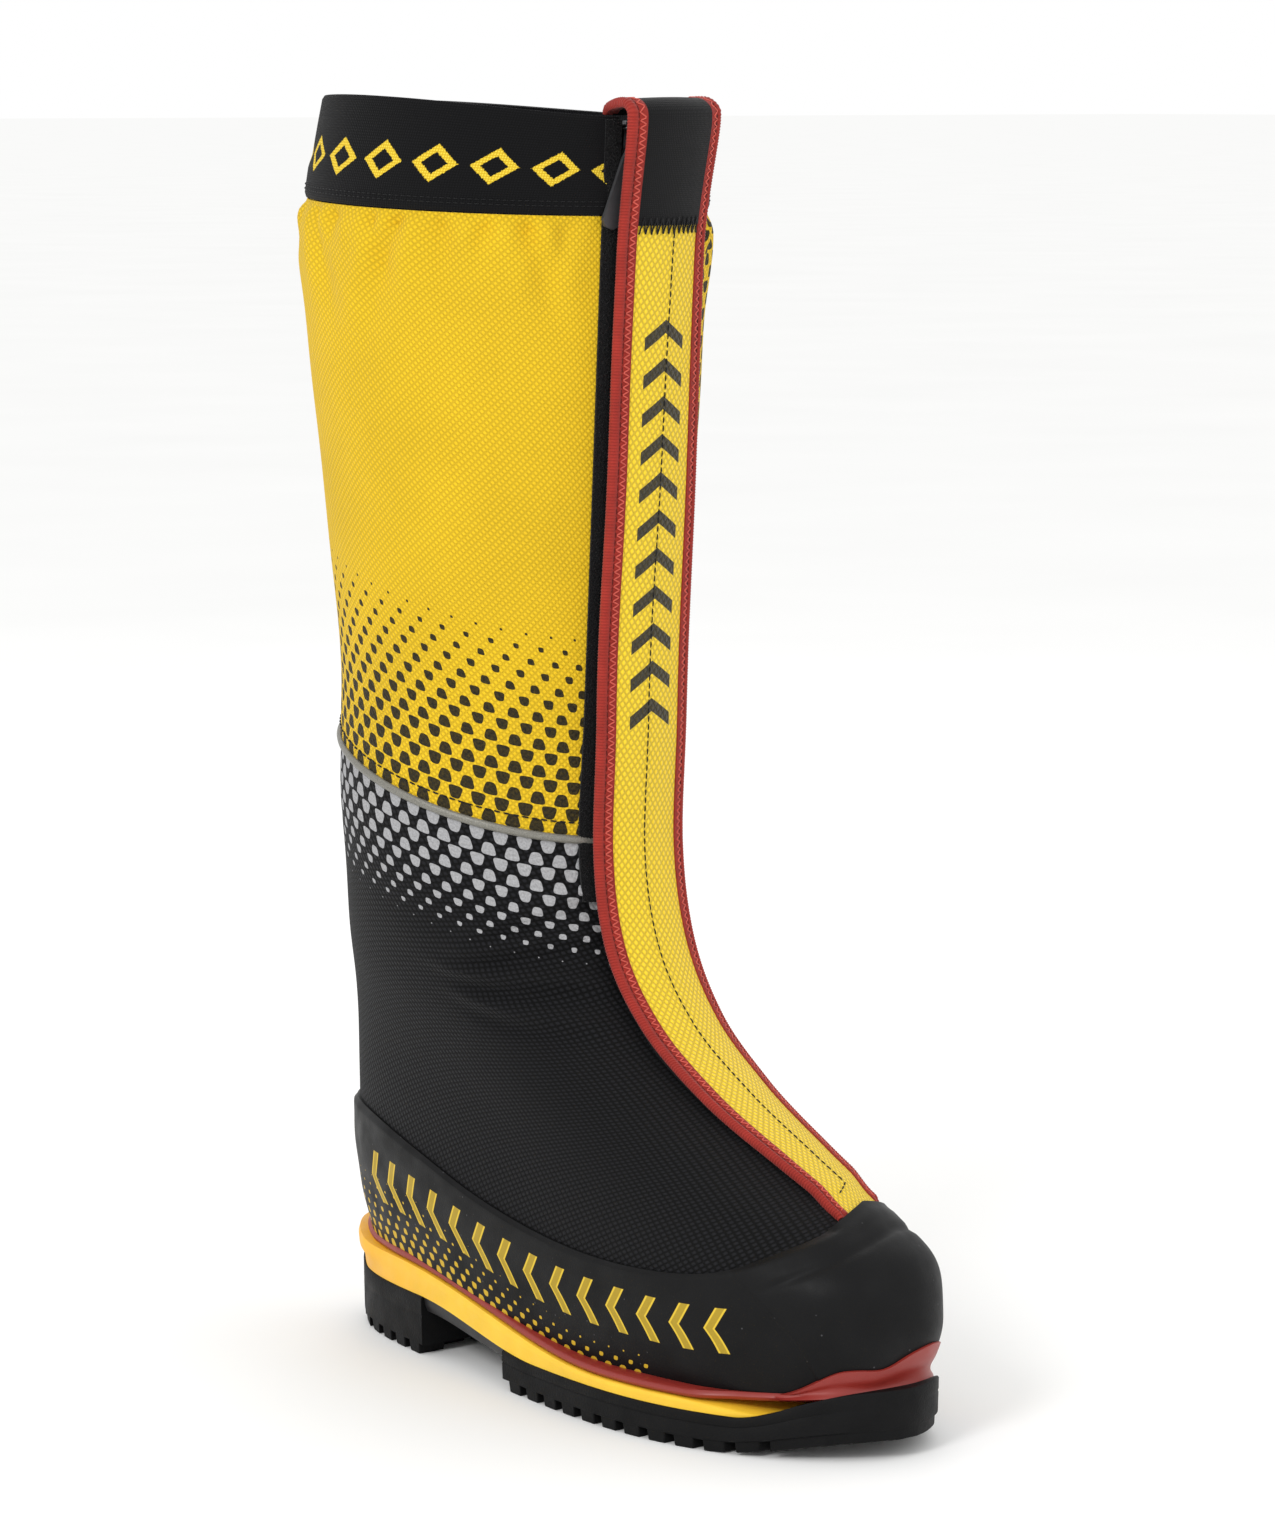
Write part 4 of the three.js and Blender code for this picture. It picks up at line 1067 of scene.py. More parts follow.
# ---------------------------------------------------------------- rubber round the foot
# Rows of the rubber from the sole up, closer together at the top; its inner face, mm out of the
# skin; the height share at which the rand's print is measured, and how high its dots climb, mm.
RUBBER_ROWS = np.linspace(0, 1, 46)[None, :] ** 0.85
RUBBER_INSIDE = 0.05
RAND_UV_HEIGHT = 0.06
RAND_DOTS_HIGH = (14, 34)


def cap_edge(share):
    """Share q of the toe cap's side seam, slanting back as it rises."""
    return lerp(0.052, 0.112, share ** 0.8)


def build_rand():
    """The side rand: an even wall that thins to its upper edge, made uneven by a few sines."""
    j = RUBBER_ROWS
    start = cap_edge(j)
    q = lerp(start - 0.004, 1 - start + 0.004, np.linspace(0, 1, 420)[:, None])
    v = rand_top(q) * j
    uneven = 0.12 * np.sin(q * 61) * np.sin(v * 75) + 0.1 * np.sin(q * 23 + 1)
    edge = 1 - smooth(j, 0.955, 1.0)
    n = GAP + 0.7 + (RAND_THICK - 0.7) * edge + uneven * edge
    uv = cloth_uv(q, v, round_at=RAND_UV_HEIGHT)
    high = lerp(*RAND_DOTS_HIGH, smooth(q, 0.2, 0.42))
    dots = np.clip(0.9 * (1 - uv[..., 1] / high), 0, 0.8) * (q < 0.49) * (q > 0.17)
    made = shell("side_rand_rubber", q, v, n, RUBBER_INSIDE, [MATERIALS["rand_rubber"]], uv=uv,
                 fields={"print_size": dots})
    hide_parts("side_rand")


def build_toe_cap():
    """The toe cap: thin at its edges but under the flap, with a bell across it as a shoulder
    and a narrow bell taken off above that as a crease."""
    i = np.linspace(-1, 1, 140)[:, None]
    j = RUBBER_ROWS
    q = i * cap_edge(j)
    v = rand_top(q) * j
    side = smooth(1 - np.abs(i), 0, 0.03)
    uneven = 0.14 * np.sin(q * 91) * np.sin(v * 85)
    near_flap = 1 - smooth(np.abs(q) * ring_length(v), 20, 27)
    top = np.maximum(1 - smooth(j, 0.95, 1.0), 0.8 * near_flap)
    shoulder = 2.6 * np.exp(-(((j - 0.64) / 0.17) ** 2)) * (1 - smooth(np.abs(i), 0.45, 0.95))
    crease = 0.9 * np.exp(-(((j - 0.83 + 0.06 * i**2) / 0.025) ** 2)) * smooth(1 - np.abs(i), 0.0, 0.3)
    n = GAP + 0.8 + (CAP_THICK - 0.8) * top * (0.72 + 0.28 * side) + uneven * top + shoulder - crease
    made = shell("toe_cap_rubber", q, v, n, RUBBER_INSIDE, [MATERIALS["cap_rubber"]])
    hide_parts("toe_cap")


# The welt's ends as shares of the way round, its height as a share of the rand's, and how far
# its outer face, its inner face and its foot stand off, mm.
WELT_SIDE = 0.088
WELT_HEIGHT = 0.26
WELT_OUT = 3.3
WELT_INSIDE = 2.2
WELT_FOOT = 0.2


def welt_top(i):
    """Height share of the welt's wavy upper edge over -1 to 1 of its length: it swells from
    each tip to a crest, dips and stands highest at the toe."""
    dip = 0.1 * np.exp(-(((np.abs(i) - 0.36) / 0.12) ** 2))
    return 0.05 + 0.7 * smooth(1 - np.abs(i), 0, 0.42) - dip + 0.16 * np.exp(-((i / 0.26) ** 2))


def build_welt():
    """The red welt at the toe: a wave with a bell as its lip and a groove above it, which is
    where a crampon's toe bail sits. Its lowest row lies on the sole's upper line."""
    i = np.linspace(-1, 1, 160)[:, None]
    j = np.linspace(0, 1, 30)[None, :]
    q = i * WELT_SIDE
    v = rand_top(q) * WELT_HEIGHT * welt_top(i) * j + 0 * q
    ends = smooth(1 - np.abs(i), 0, 0.12)
    lip = 2.3 * np.exp(-(((j - 0.16) / 0.13) ** 2)) - 0.5 * np.exp(-(((j - 0.5) / 0.15) ** 2))
    outer = skin(q, v, GAP + WELT_OUT + ends * (0.6 + lip))
    outer[:, 0, 2] = feather(outer[:, 0, 1]) + WELT_FOOT
    points = there_and_back(outer, skin(q, v, GAP + WELT_INSIDE))
    made = loft("toe_welt_bail_groove", points, [MATERIALS["tpu_frame"]])
    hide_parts("toe_welt")


# ---------------------------------------------------------------- flap
FLAP_END = float(rise(0, RAND_HEIGHTS[0])) + 0.004
FLAP_SPLIT = float(rise(0, 214))
TAB_SPLIT = float(rise(0, FRONT_HEIGHT - CUFF_HEIGHT - 2))
CLOTH_HALF = FLAP_HALF - BINDING_WIDTH
FLAP_MIDDLE = FLAP_LIFT + FLAP_THICK / 2
# How far the flap flares before it turns over the collar, mm, the points of its path up to the
# collar and over it, and how far its cloth runs into the bindings, mm.
TURN_FLARE = 6
FLAP_ROWS = 500
TURN_ROWS = 79
BINDING_COVERS = 2.6

# The flap's turn over the collar: rise over the collar and distance from the skin.
COLLAR_TURN = np.array([
    [0, 12.9], [3.0, 12.7], [5.4, 9.8], [5.7, 5.5], [4.9, 0.5], [3.2, -4.2], [0.9, -5.6]])


def flap_sink(v):
    """How much closer to the skin the flap lies over the instep than on the shaft."""
    return lerp(-FLAP_LIFT + 1.8, 0, smooth(v, FLAP_END, FLAP_SPLIT - 0.04))


def flap_share(v):
    """Share of the flap's full width at v: narrower over the instep."""
    return lerp(0.76, 1, smooth(v, FLAP_END, FLAP_END + 0.16))


def flap_path():
    """The flap's middle line from the toe cap up and over the collar.

    Columns: way (mm), v, rise over the collar, distance from the skin, and the two parts
    (out, up) of the direction in which its thickness is laid, a quarter turn from the path.
    """
    v = np.linspace(FLAP_END - 0.016, 1, FLAP_ROWS)
    tuck = 1.7 * (1 - smooth(v, FLAP_END - 0.004, FLAP_END + 0.025))
    n = FLAP_MIDDLE + flap_sink(v) - tuck + TURN_FLARE * smooth(v, TAB_SPLIT - 0.02, 1)
    turn = np.linspace(0, 1, TURN_ROWS + 1)[1:]
    dz = np.concatenate([np.zeros(FLAP_ROWS), between(COLLAR_TURN[:, 0], turn)])
    n = np.concatenate([n, between(COLLAR_TURN[:, 1], turn)])
    v = np.concatenate([v, np.ones(TURN_ROWS)])
    points = across(0 * v, v, n) + np.stack([0 * dz, 0 * dz, dz], -1)
    go_n, go_z = np.gradient(n), np.gradient(dz)
    go_n[:FLAP_ROWS], go_z[:FLAP_ROWS] = 0, 1
    size = np.hypot(go_n, go_z)
    return np.stack([way_along(points), v, dz, n, go_z / size, -go_n / size], -1)


FLAP_PATH = flap_path()
FLAP_LONG = FLAP_PATH[-1, 0]
TAB_WAY = float(np.interp(TAB_SPLIT, FLAP_PATH[:FLAP_ROWS, 1], FLAP_PATH[:FLAP_ROWS, 0]))


def flap(s, t, h):
    """A point s mm lateral of the flap's middle, t mm along it, and h mm out of its middle face.

    Two sines along it make it waver, and a parabola across crowns it.
    """
    s, t, h = np.broadcast_arrays(*(np.asarray(a, float) for a in (s, t, h)))
    v, dz, n, out, up = (np.interp(t, FLAP_PATH[:, 0], FLAP_PATH[:, k]) for k in range(1, 6))
    waver = (0.55 * np.sin(t / 41 + 1) + 0.3 * np.sin(t / 19)) * smooth(t, 30, 90)
    crown = 0.9 * (1 - (s / FLAP_HALF) ** 2) * smooth(t, 0, 60)
    points = across(s * flap_share(v) + waver, v, n + (h + crown) * out)
    points[..., 2] += dz + (h + crown) * up
    return points


def flap_normal(s, t):
    """The flap's outward normal, from a point over its middle face to one under it."""
    return unit(flap(s, t, 1.0) - flap(s, t, -1.0))


def saw(way, pitch):
    """A zigzag between 0 and 1 along a way."""
    return np.abs((way / pitch) % 1 - 0.5) * 2


def hung(made):
    """Bakes a piece of the flap's transform into its points; the piece rides on no body."""
    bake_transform(made)


def flap_sheet(name, material, start, end, rows, h_out, h_in):
    """A flat run of the flap between two ways along it, from h_out to h_in off its middle."""
    s = np.linspace(-CLOTH_HALF - BINDING_COVERS, CLOTH_HALF + BINDING_COVERS, 25)[None, :]
    t = np.linspace(start, end, rows)[:, None]
    uv = np.stack(np.broadcast_arrays(s, t), -1)
    return loft(name, there_and_back(flap(s, t, h_out), flap(s, t, h_in)), [material], body=None,
                uv=there_and_back(uv, uv))


def build_flap():
    """The flap's mesh and its neoprene tab, two runs of the flap, with three seams."""
    cloth = flap_sheet("storm_flap_mesh", MATERIALS["flap_yellow"], 0.5, TAB_WAY + 2, 420, 0.9, -0.9)
    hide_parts("flap_lower", "flap_upper")
    hung(cloth)

    neoprene = MATERIALS["neoprene"]
    tab = flap_sheet("collar_tab_neoprene", neoprene, TAB_WAY - 1.5, FLAP_LONG, 120, 1.5, -1.0)
    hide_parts("collar_tab")
    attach(tab, "storm_flap")

    # Overlock loops over the joint of tab and mesh, and the stitched corner above it.
    s = np.linspace(-CLOTH_HALF + 0.5, CLOTH_HALF - 0.5, 260)
    loop = saw(s, 2.7)
    path = flap(s, TAB_WAY - 5.0 + 6.6 * loop, 1.35 + 0.5 * smooth(loop, 0.3, 0.7))
    loops = tube(path, flap_normal(s, TAB_WAY + 0 * s), 0.36, 0.3, 6)
    corner = np.array([[-CLOTH_HALF + 1, 8.5], [6.5, 8.5], [6.5, -1.5]])
    t = np.linspace(0, 1, 40)[:, None]
    s, t = np.concatenate([lerp(corner[k], corner[k + 1], t) for k in range(2)]).T
    t = TAB_WAY + t
    row = stitches(flap(s, t, 1.55), flap_normal(s, t), 2.0, 0.8, 0.87)
    points, faces = joined([(loops, swept_faces(*loops.shape[:2])), row])
    thread = [MATERIALS["thread_black"]]
    seam = piece("tab_overlock", points, faces, thread, body="storm_flap", sharp=None)

    # One seam down the flap's middle; it turns towards the lateral binding over the toe.
    t = np.linspace(16, TAB_WAY - 4, 900)
    s = -1.5 + 3.2 * np.sin(t / 150 + 0.4)
    s = np.concatenate([np.linspace(9.5, s[0], 30), s])
    t = np.concatenate([np.linspace(12, 15.8, 30), t])
    points, faces = stitches(flap(s, t, 0.95), flap_normal(s, t), 2.5, 0.8)
    seam = piece("flap_middle_seam", points, faces, thread, body=None, sharp=None)
    hung(seam)


# Section of a binding: way outwards from its inner edge and height over the flap's middle.
BINDING_SECTION = np.array([
    [0, 1.0], [0.15, 1.5], [1.6, 1.75], [3.0, 1.6], [3.6, 1.35], [4.2, 1.85], [5.2, 2.3], [6.3, 1.9],
    [7.0, 0.9], [7.0, -0.6], [6.4, -1.5], [5.0, -1.7], [3.0, -1.5], [1.0, -1.4], [0.15, -1.35],
    [0, -1.0]])
# The binding's ribs and the zigzag along it, mm.
RIB_PITCH = 1.2
RIB_HIGH = 0.11
ZIGZAG_PITCH = 2.9
ZIGZAG_SIDES = 5


def build_binding(side, sign):
    """Red ribbed tape folded over the flap's edge: its section carried along the flap, with
    a sine as its ribs, a zigzag along its inner edge and a straight seam of dark maroon thread
    beside that, in the tape's groove, which is also a painted shadow along the groove."""
    t = np.arange(0, FLAP_LONG, 0.3)[:, None]
    way, h = BINDING_SECTION.T[:, None, :]
    rib = RIB_HIGH * np.sin(2 * np.pi * t / RIB_PITCH) * (smooth(way, 3.4, 4.4) * (h > -1))
    ends = smooth(t, 0, 2.5) * smooth(FLAP_LONG - t, 0, 2.0)
    s = sign * (CLOTH_HALF + way + rib * 0.6)
    points = flap(s, t, (h + np.sign(h) * rib) * lerp(0.6, 1, ends))
    uv = np.stack(np.broadcast_arrays(way, t), -1)
    made = loft("flap_binding_" + side, points, [MATERIALS["binding"]], body=None, uv=uv)
    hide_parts("binding_lower_" + side, "binding_upper_" + side)
    hung(made)

    t = np.arange(3, FLAP_LONG - 3, 0.42)
    s = sign * (CLOTH_HALF + 0.9 + 2.5 * saw(t, ZIGZAG_PITCH))
    zigzag = tube(flap(s, t, 1.86), flap_normal(s, t), 0.3, 0.26, ZIGZAG_SIDES)
    # Both ends are drawn to a point, so they need no caps.
    zigzag[0], zigzag[-1] = zigzag[0].mean(0), zigzag[-1].mean(0)
    faces = swept_faces(*zigzag.shape[:2])[:(len(t) - 1) * ZIGZAG_SIDES]
    made = piece("binding_zigzag_" + side, zigzag, faces, [MATERIALS["thread_red"]],
                 body=None, sharp=None)
    hung(made)

    # Dark maroon seam in the binding's groove: a seam and a painted shadow line along the groove.
    s = sign * (CLOTH_HALF + 3.7) + 0 * t
    points, faces = stitches(flap(s, t, 1.45), flap_normal(s, t), 2.4, 0.7, 0.75)
    made = piece("binding_shadow_seam_" + side, points, faces, [MATERIALS["thread_maroon"]],
                 body=None, sharp=None)
    hung(made)


# ---------------------------------------------------------------- strips, web and zip
# Heights at which the hook tape and the loop pile start, and the pile's roughness, mm.
STRIP_LOW = 226
LOOP_LOW = 196
TUFT = 0.28


def strip_piece(name, sides, ends, n_low, n_high, columns, rows, material, body="boot", crown=0.0):
    """A strip of the skin between two ways from the ridge, as functions of v, and two heights v,
    crowned by a parabola across it."""
    v = np.linspace(*ends, rows)[:, None]
    x = np.linspace(0, 1, columns)[None, :]
    s = lerp(sides[0](v), sides[1](v), x) + 0 * v
    v = v + 0 * s
    rounded = crown * (1 - (2 * x - 1) ** 2)
    points = there_and_back(across(s, v, n_high(v) + rounded), across(s, v, n_low))
    uv = np.stack([s, way_along(points[:, 0])[:, None] + 0 * s], -1)
    return loft(name, points, [material], body=body, uv=there_and_back(uv, uv))


def steady(value):
    """A function that gives the same value everywhere."""
    return lambda v: value


def roughened(made, columns):
    """Moves the outer points of a strip by a random hair, as the tufts of a pile do."""
    mesh = made.data
    co = np.zeros(len(mesh.vertices) * 3, np.float32)
    mesh.vertices.foreach_get("co", co)
    co = co.reshape(-1, 2 * columns, 3)
    tuft = np.random.default_rng(7).uniform(-TUFT, TUFT, co[:, 1:columns - 1].shape) * MM
    co[:, 1:columns - 1] += tuft
    mesh.vertices.foreach_set("co", co.ravel())


def web_top(v):
    """Height of the web's outer face: just under the flap."""
    return FLAP_LIFT - 0.5 + flap_sink(v) - GAP


def flap_side(way):
    """A way from the flap's middle that narrows over the instep as the flap does."""
    return lambda v: way * flap_share(v)


def build_strips():
    """Strips of the skin: the loop pile under the flap, the hook tape on it, the neoprene web
    that hinges it, and a black bridge that closes the gap under its fixed part."""
    low = float(rise(0.03, STRIP_LOW))
    pile, neoprene = MATERIALS["hook_and_loop"], MATERIALS["neoprene"]
    loop = strip_piece(
        "loop_pile_strip", (steady(ZIP_PLACE + SLIDER_HALF + 1), steady(FLAP_HALF + 3.0)),
        (float(rise(0.03, LOOP_LOW)), 0.998), GAP - 0.5, steady(1.2), 16, 460, pile, crown=0.3)
    roughened(loop, 16)
    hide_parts("loop_strip")
    hook = strip_piece(
        "hook_strip_tape", (steady(CLOTH_HALF - 6), steady(CLOTH_HALF - 0.5)),
        (low, TAB_SPLIT - 0.0009), FLAP_LIFT - 1.1, steady(FLAP_LIFT - 0.15), 6, 200, pile, body=None)
    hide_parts("hook_strip")
    hung(hook)
    web = strip_piece(
        "flap_hinge_web", (flap_side(0.6 - FLAP_HALF), flap_side(5 - FLAP_HALF)),
        (FLAP_END, 1), -0.2, web_top, 5, 220, neoprene)
    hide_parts("flap_web")
    bridge = strip_piece(
        "flap_under_bridge", (flap_side(5.2 - FLAP_HALF), flap_side(FLAP_HALF - 3.0)),
        (FLAP_END, low - 0.01), 0.1, lambda v: web_top(v) - 0.6, 10, 120, neoprene)


# The zip's teeth: their pitch, their outline (out, up), and the height and size of the four
# levels of a tooth's rounded body.
TOOTH_PITCH = 2.4
TOOTH_OUTLINE = np.array([
    [0, -0.45], [0.5, -0.5], [1.6, -0.85], [2.3, -0.6], [2.3, 0.6], [1.6, 0.85], [0.5, 0.5], [0, 0.45]])
TOOTH_LEVELS = np.array([-3.6, -3.2, -1.3, -0.9])
TOOTH_SIZES = np.array([0.75, 1, 1, 0.75])
TOOTH_MIDDLE = 1.15
TOOTH_START = 1.5
TOOTH_POINTS = 32


def dress(node, slot):
    """Gives a CAD node its finish."""
    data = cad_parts[node].data
    data.materials.clear()
    data.materials.append(MATERIALS[slot])


def build_zip():
    """Tapes, and moulded teeth: each an eight-sided outline carried through four levels."""
    v0, v1 = float(rise(0.02, ZIP_BOTTOM)), float(rise(0.02, ZIP_TOP))
    v = np.linspace(v0, v1, 300)
    way = way_along(across(ZIP_PLACE + 0 * v, v))
    near = CHAIN_PITCH + CHAIN_WIDTH - 0.8
    tooth = swept_faces(4, 8)
    out, up = TOOTH_OUTLINE.T[:, None, None, :]
    size = TOOTH_SIZES[None, :, None]
    for side, sign in (("lateral", 1), ("medial", -1)):
        edges = sorted((ZIP_PLACE + sign * near, ZIP_PLACE + sign * (near + TAPE_WIDTH)))
        tape = strip_piece("zip_tape_woven_" + side, [steady(edge) for edge in edges],
                           (v0 - 0.012, v1), -2.9, steady(-2.1), 10, 160, MATERIALS["zip_tape"])
        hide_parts("zip_tape_" + side)
        start = TOOTH_START + (TOOTH_PITCH / 2 if sign > 0 else 0)
        centres = np.arange(start, way[-1] - TOOTH_START, TOOTH_PITCH)
        reach = CHAIN_PITCH + CHAIN_WIDTH - 0.05 - TOOTH_MIDDLE - (out - TOOTH_MIDDLE) * size
        place = np.interp(centres[:, None, None] + up * size, way, v)
        points = across(ZIP_PLACE + sign * reach + 0 * place, place, TOOTH_LEVELS[None, :, None])
        starts = np.arange(len(centres))[:, None, None] * TOOTH_POINTS
        teeth = piece("zip_teeth_" + side, points, (tooth[None] + starts).reshape(-1, 4),
                      [MATERIALS["zip_chain"]], sharp=50)
        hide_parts("zip_chain_" + side)
    dress("zip_pull", "pull_rubber")
    for node in ("zip_slider", "zip_stop_lateral", "zip_stop_medial", "zip_stop_bottom"):
        dress(node, "zip_metal")


# ---------------------------------------------------------------- sole
def sole_half(y):
    """Half the sole's width at y: ball to heel width, rounded off at both ends."""
    y = np.asarray(y, float)
    along = np.minimum(np.abs(y) / (SOLE_LENGTH / 2), 1)
    wide = lerp(BALL_WIDTH, HEEL_WIDTH, smooth(y / SOLE_LENGTH, -0.3, 0.36)) / 2
    rounding = (1 - along ** np.where(y < 0, 3.2, 4)) ** 0.55
    return np.maximum(wide * rounding, 0.3)


def toe_spring(y):
    """How far the ground face lifts off the ground towards the toe."""
    return 8 * smooth(-y / SOLE_LENGTH, 0.3, 0.5) ** 1.4


def rubber_top(y):
    """Height of the outsole's upper edge: steps up to the heel and at both ends."""
    share = y / SOLE_LENGTH
    return (15 + 10 * smooth(share, -0.02, 0.26) + 6 * smooth(share, 0.42, 0.5)
            + 7 * smooth(-share, 0.4, 0.49))


def sole_layer(name, material, y0, y1, rows, profile):
    """A closed loft of stations along Y; profile(y) gives (inset, z) pairs from the bottom up,
    and each station joins the lateral profile to the medial one."""
    t = np.linspace(0, 1, rows)
    y = lerp(y0, y1, lerp(t, (1 - np.cos(np.pi * t)) / 2, 0.93))[:, None]
    inset, z = profile(y)
    half = np.maximum(sole_half(y) - inset, 0.2)
    x = toe_offset(y)
    right = np.stack(np.broadcast_arrays(x + half, y, z), -1)
    left = np.stack(np.broadcast_arrays(x - half, y, z), -1)
    return loft(name, np.concatenate([left[:, ::-1], right], axis=1), [material])


def heel_ledge(y):
    """How far the midsole stands out round the heel, as a seat for a crampon's heel lever."""
    return 3.2 * smooth(y, 112, 138)


def stacked(*levels):
    """Columns of heights side by side, as one profile from the bottom up."""
    return np.concatenate(levels, axis=1)


def rim_profile(y):
    """The red line under the upper: a rounded edge, drawn in at the heel and at the toe."""
    top, low = feather(y) + 0.5, feather(y) - 2.6
    z = stacked(low, low + 0.5, lerp(low, top, 0.5), top - 0.8, top, top + 0.1)
    inset = np.array([[2.6, 1.7, 1.2, 1.6, 2.6, 9.0]])
    return inset + 1.2 * smooth(y, 95, 125) + 3.5 * smooth(-y, 98, 116), z


# How far the foam's profile is drawn in, and its share of the ledge at the heel.
FOAM_INSET = np.array([[1.6, 1.0, 0.9, 0.7, 0.7, 1.2, 2.0, 14.0]])
FOAM_LEDGE = np.array([[0.0, 0.0, 0.15, 0.9, 1.0, 0.9, 0.6, 0.0]])


def foam_profile(y):
    """The foam wedge between rubber and rim: it tapers to the toe and has a ledge at the heel."""
    low = rubber_top(y) - 0.4
    taper = smooth(y, TOE_Y + 18, TOE_Y + 76)
    top = np.maximum(feather(y) - 3.0 + 1.6 * smooth(y, 115, 140), low + 0.8)
    top = lerp(low + 0.9, top, taper)
    middle = [lerp(low, top, share) for share in (0.35, 0.62, 0.82)]
    z = stacked(low, low + 0.4, *middle, top - 0.25, top, top)
    return FOAM_INSET - FOAM_LEDGE * heel_ledge(y), z


def build_midsole():
    """The red rim and the yellow foam wedge, two layers of the sole."""
    made = sole_layer(
        "midsole_frame_rim", MATERIALS["tpu_frame"], TOE_Y + 3, HEEL_Y - 3, 200, rim_profile)
    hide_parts("midsole_frame")
    made = sole_layer(
        "midsole_foam_wedge", MATERIALS["midsole_foam"], TOE_Y + 20, HEEL_Y - 0.5, 220, foam_profile)
    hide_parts("midsole")


# Rows of lugs: inner and outer edge as shares of the sole's half width, then slide and length
# as shares of the pitch. A lug is drawn in at the ground, more so on the sole's own edge.
LUG_ROWS = ((0.66, 1.0, 0.0, 0.72), (0.30, 0.58, 0.5, 0.68), (0.02, 0.24, 0.0, 0.62))
LUG_PITCH = 12.5
LUG_DEEP = 4.2
LUG_ROOT = 2.5
LUG_INSET = (0.6, 0)
EDGE_INSET = (1.2, 0.4)
BLOCK_FACES = np.array([
    [0, 1, 3, 2], [4, 6, 7, 5], [0, 4, 5, 1], [2, 3, 7, 6], [0, 2, 6, 4], [1, 5, 7, 3]])


def lugs(y0, y1, floor):
    """Corners of tapered blocks in three rows a side, whose outer faces follow the outline.

    Level 0 of a block is its tread and level 1 its root inside the slab.
    """
    count = int(round((y1 - y0) / LUG_PITCH))
    middle = y0 + (np.arange(count) + 0.5) * (y1 - y0) / count
    blocks = []
    for side, (inner, outer, slide, long) in product((-1, 1), LUG_ROWS):
        y = np.clip(middle + slide * LUG_PITCH, y0, y1)
        if slide:
            y = y[:-1]
        corners = []
        for level, end, share in product((0, 1), (-1, 1), (inner, outer)):
            at = y + end * LUG_PITCH * long / 2
            inset = (EDGE_INSET if share == 1.0 else LUG_INSET)[level]
            way = sole_half(at) * share + (inset if share == inner else -inset)
            lean = -0.5 * end * (1 - level)
            z = floor(at) + level * (LUG_DEEP + LUG_ROOT)
            corners.append(np.stack([toe_offset(at) + side * way, at + lean, z], -1))
        blocks.append(np.stack(corners, 1))
    return np.concatenate(blocks)


def lug_piece(name, y0, y1, floor):
    """Lugs as one piece with worn edges; blocks on the mirrored side have their faces turned."""
    blocks = lugs(y0, y1, floor)
    first = blocks[:, :1]
    a, b, c = np.moveaxis(blocks[:, [1, 2, 4]] - first, 1, 0)
    turned = (np.cross(a, b) * c).sum(-1) < 0
    faces = BLOCK_FACES[None] + np.arange(len(blocks))[:, None, None] * 8
    faces = np.where(turned[:, None, None], faces, faces[:, :, ::-1])
    made = piece(name, blocks, faces.reshape(-1, 4), [MATERIALS["outsole_rubber"]], sharp=30)
    bevel = made.modifiers.new("Worn edges", "BEVEL")
    bevel.width = 0.5 * MM
    bevel.segments = 2


def heel_floor(y):
    """How far the heel's ground face lifts off the ground at its back."""
    return 5.5 * smooth(y / SOLE_LENGTH, 0.425, 0.5)


def toe_wrap(y):
    """The forefoot rubber's upper edge, which climbs over the toe."""
    return rubber_top(y) + 5.4 * smooth(-y, 116, 142)


# How far a slab's upright side is drawn in from the sole's outline, from the bottom up.
WALL_INSET = np.array([[1.4, 0.4, 0.15, 0.5, 0.1, 0.0, 0.5, 1.2, 16.0]])


def wall_profile(floor, top_of):
    """The profile of a slab's upright side: a parting line, and a rounded rim that stands out
    at the toe."""
    def profile(y):
        low, top = floor(y) + LUG_DEEP, top_of(y)
        middle = [lerp(low, top, share) for share in (0.55, 0.6, 0.65)]
        z = stacked(low, low + 0.6, *middle, top - 0.9, top - 0.2, top, top)
        return WALL_INSET - 1.2 * smooth(-y, 100, 135), z
    return profile


def toe_block_profile(y):
    """The profile of the solid block of tread under the toe."""
    low = toe_spring(y)
    z = stacked(low, low + 0.4, low + LUG_DEEP + 1.5, low + LUG_DEEP + 2)
    return np.array([[1.6, 1.0, 0.6, 9.0]]) + 0 * y, z


def arch_profile(y):
    """The profile of the cover under the arch, which rises towards the heel."""
    low = 12.5 + 6 * smooth(y / SOLE_LENGTH, 0.04, 0.24)
    top = rubber_top(y) - 0.2
    z = stacked(low - 1.2, low, lerp(low, top, 0.5), top, top)
    return np.array([[9.0, 3.4, 2.0, 1.6, 12.0]]) + 0 * y, z


def build_outsole():
    """Two slabs with upright sides, their lugs, the toe's block and the shank's cover."""
    rubber = MATERIALS["outsole_rubber"]
    wall = wall_profile(toe_spring, toe_wrap)
    slab = sole_layer("forefoot_outsole_slab", rubber, TOE_Y, 16, 180, wall)
    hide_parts("forefoot_outsole")
    wall = wall_profile(heel_floor, rubber_top)
    slab = sole_layer("heel_outsole_slab", rubber, 80, HEEL_Y, 110, wall)
    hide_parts("heel_outsole")
    lug_piece("forefoot_lugs", TOE_Y + 34, 14, toe_spring)
    block = sole_layer("toe_lug_block", rubber, TOE_Y + 0.6, TOE_Y + 32, 60, toe_block_profile)
    lug_piece("heel_lugs", 81, HEEL_Y - 5, heel_floor)
    made = sole_layer("arch_shank_cover", MATERIALS["shank_cover"], 12, 84, 60, arch_profile)
    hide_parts("arch_plate")


# ---------------------------------------------------------------- inside
# Faces of the walls inside the gaiter, in mm out of the skin.
SHELL_WALL = (-2.9, -7.2)
LINER_WALL = (-8.6, -14.6)
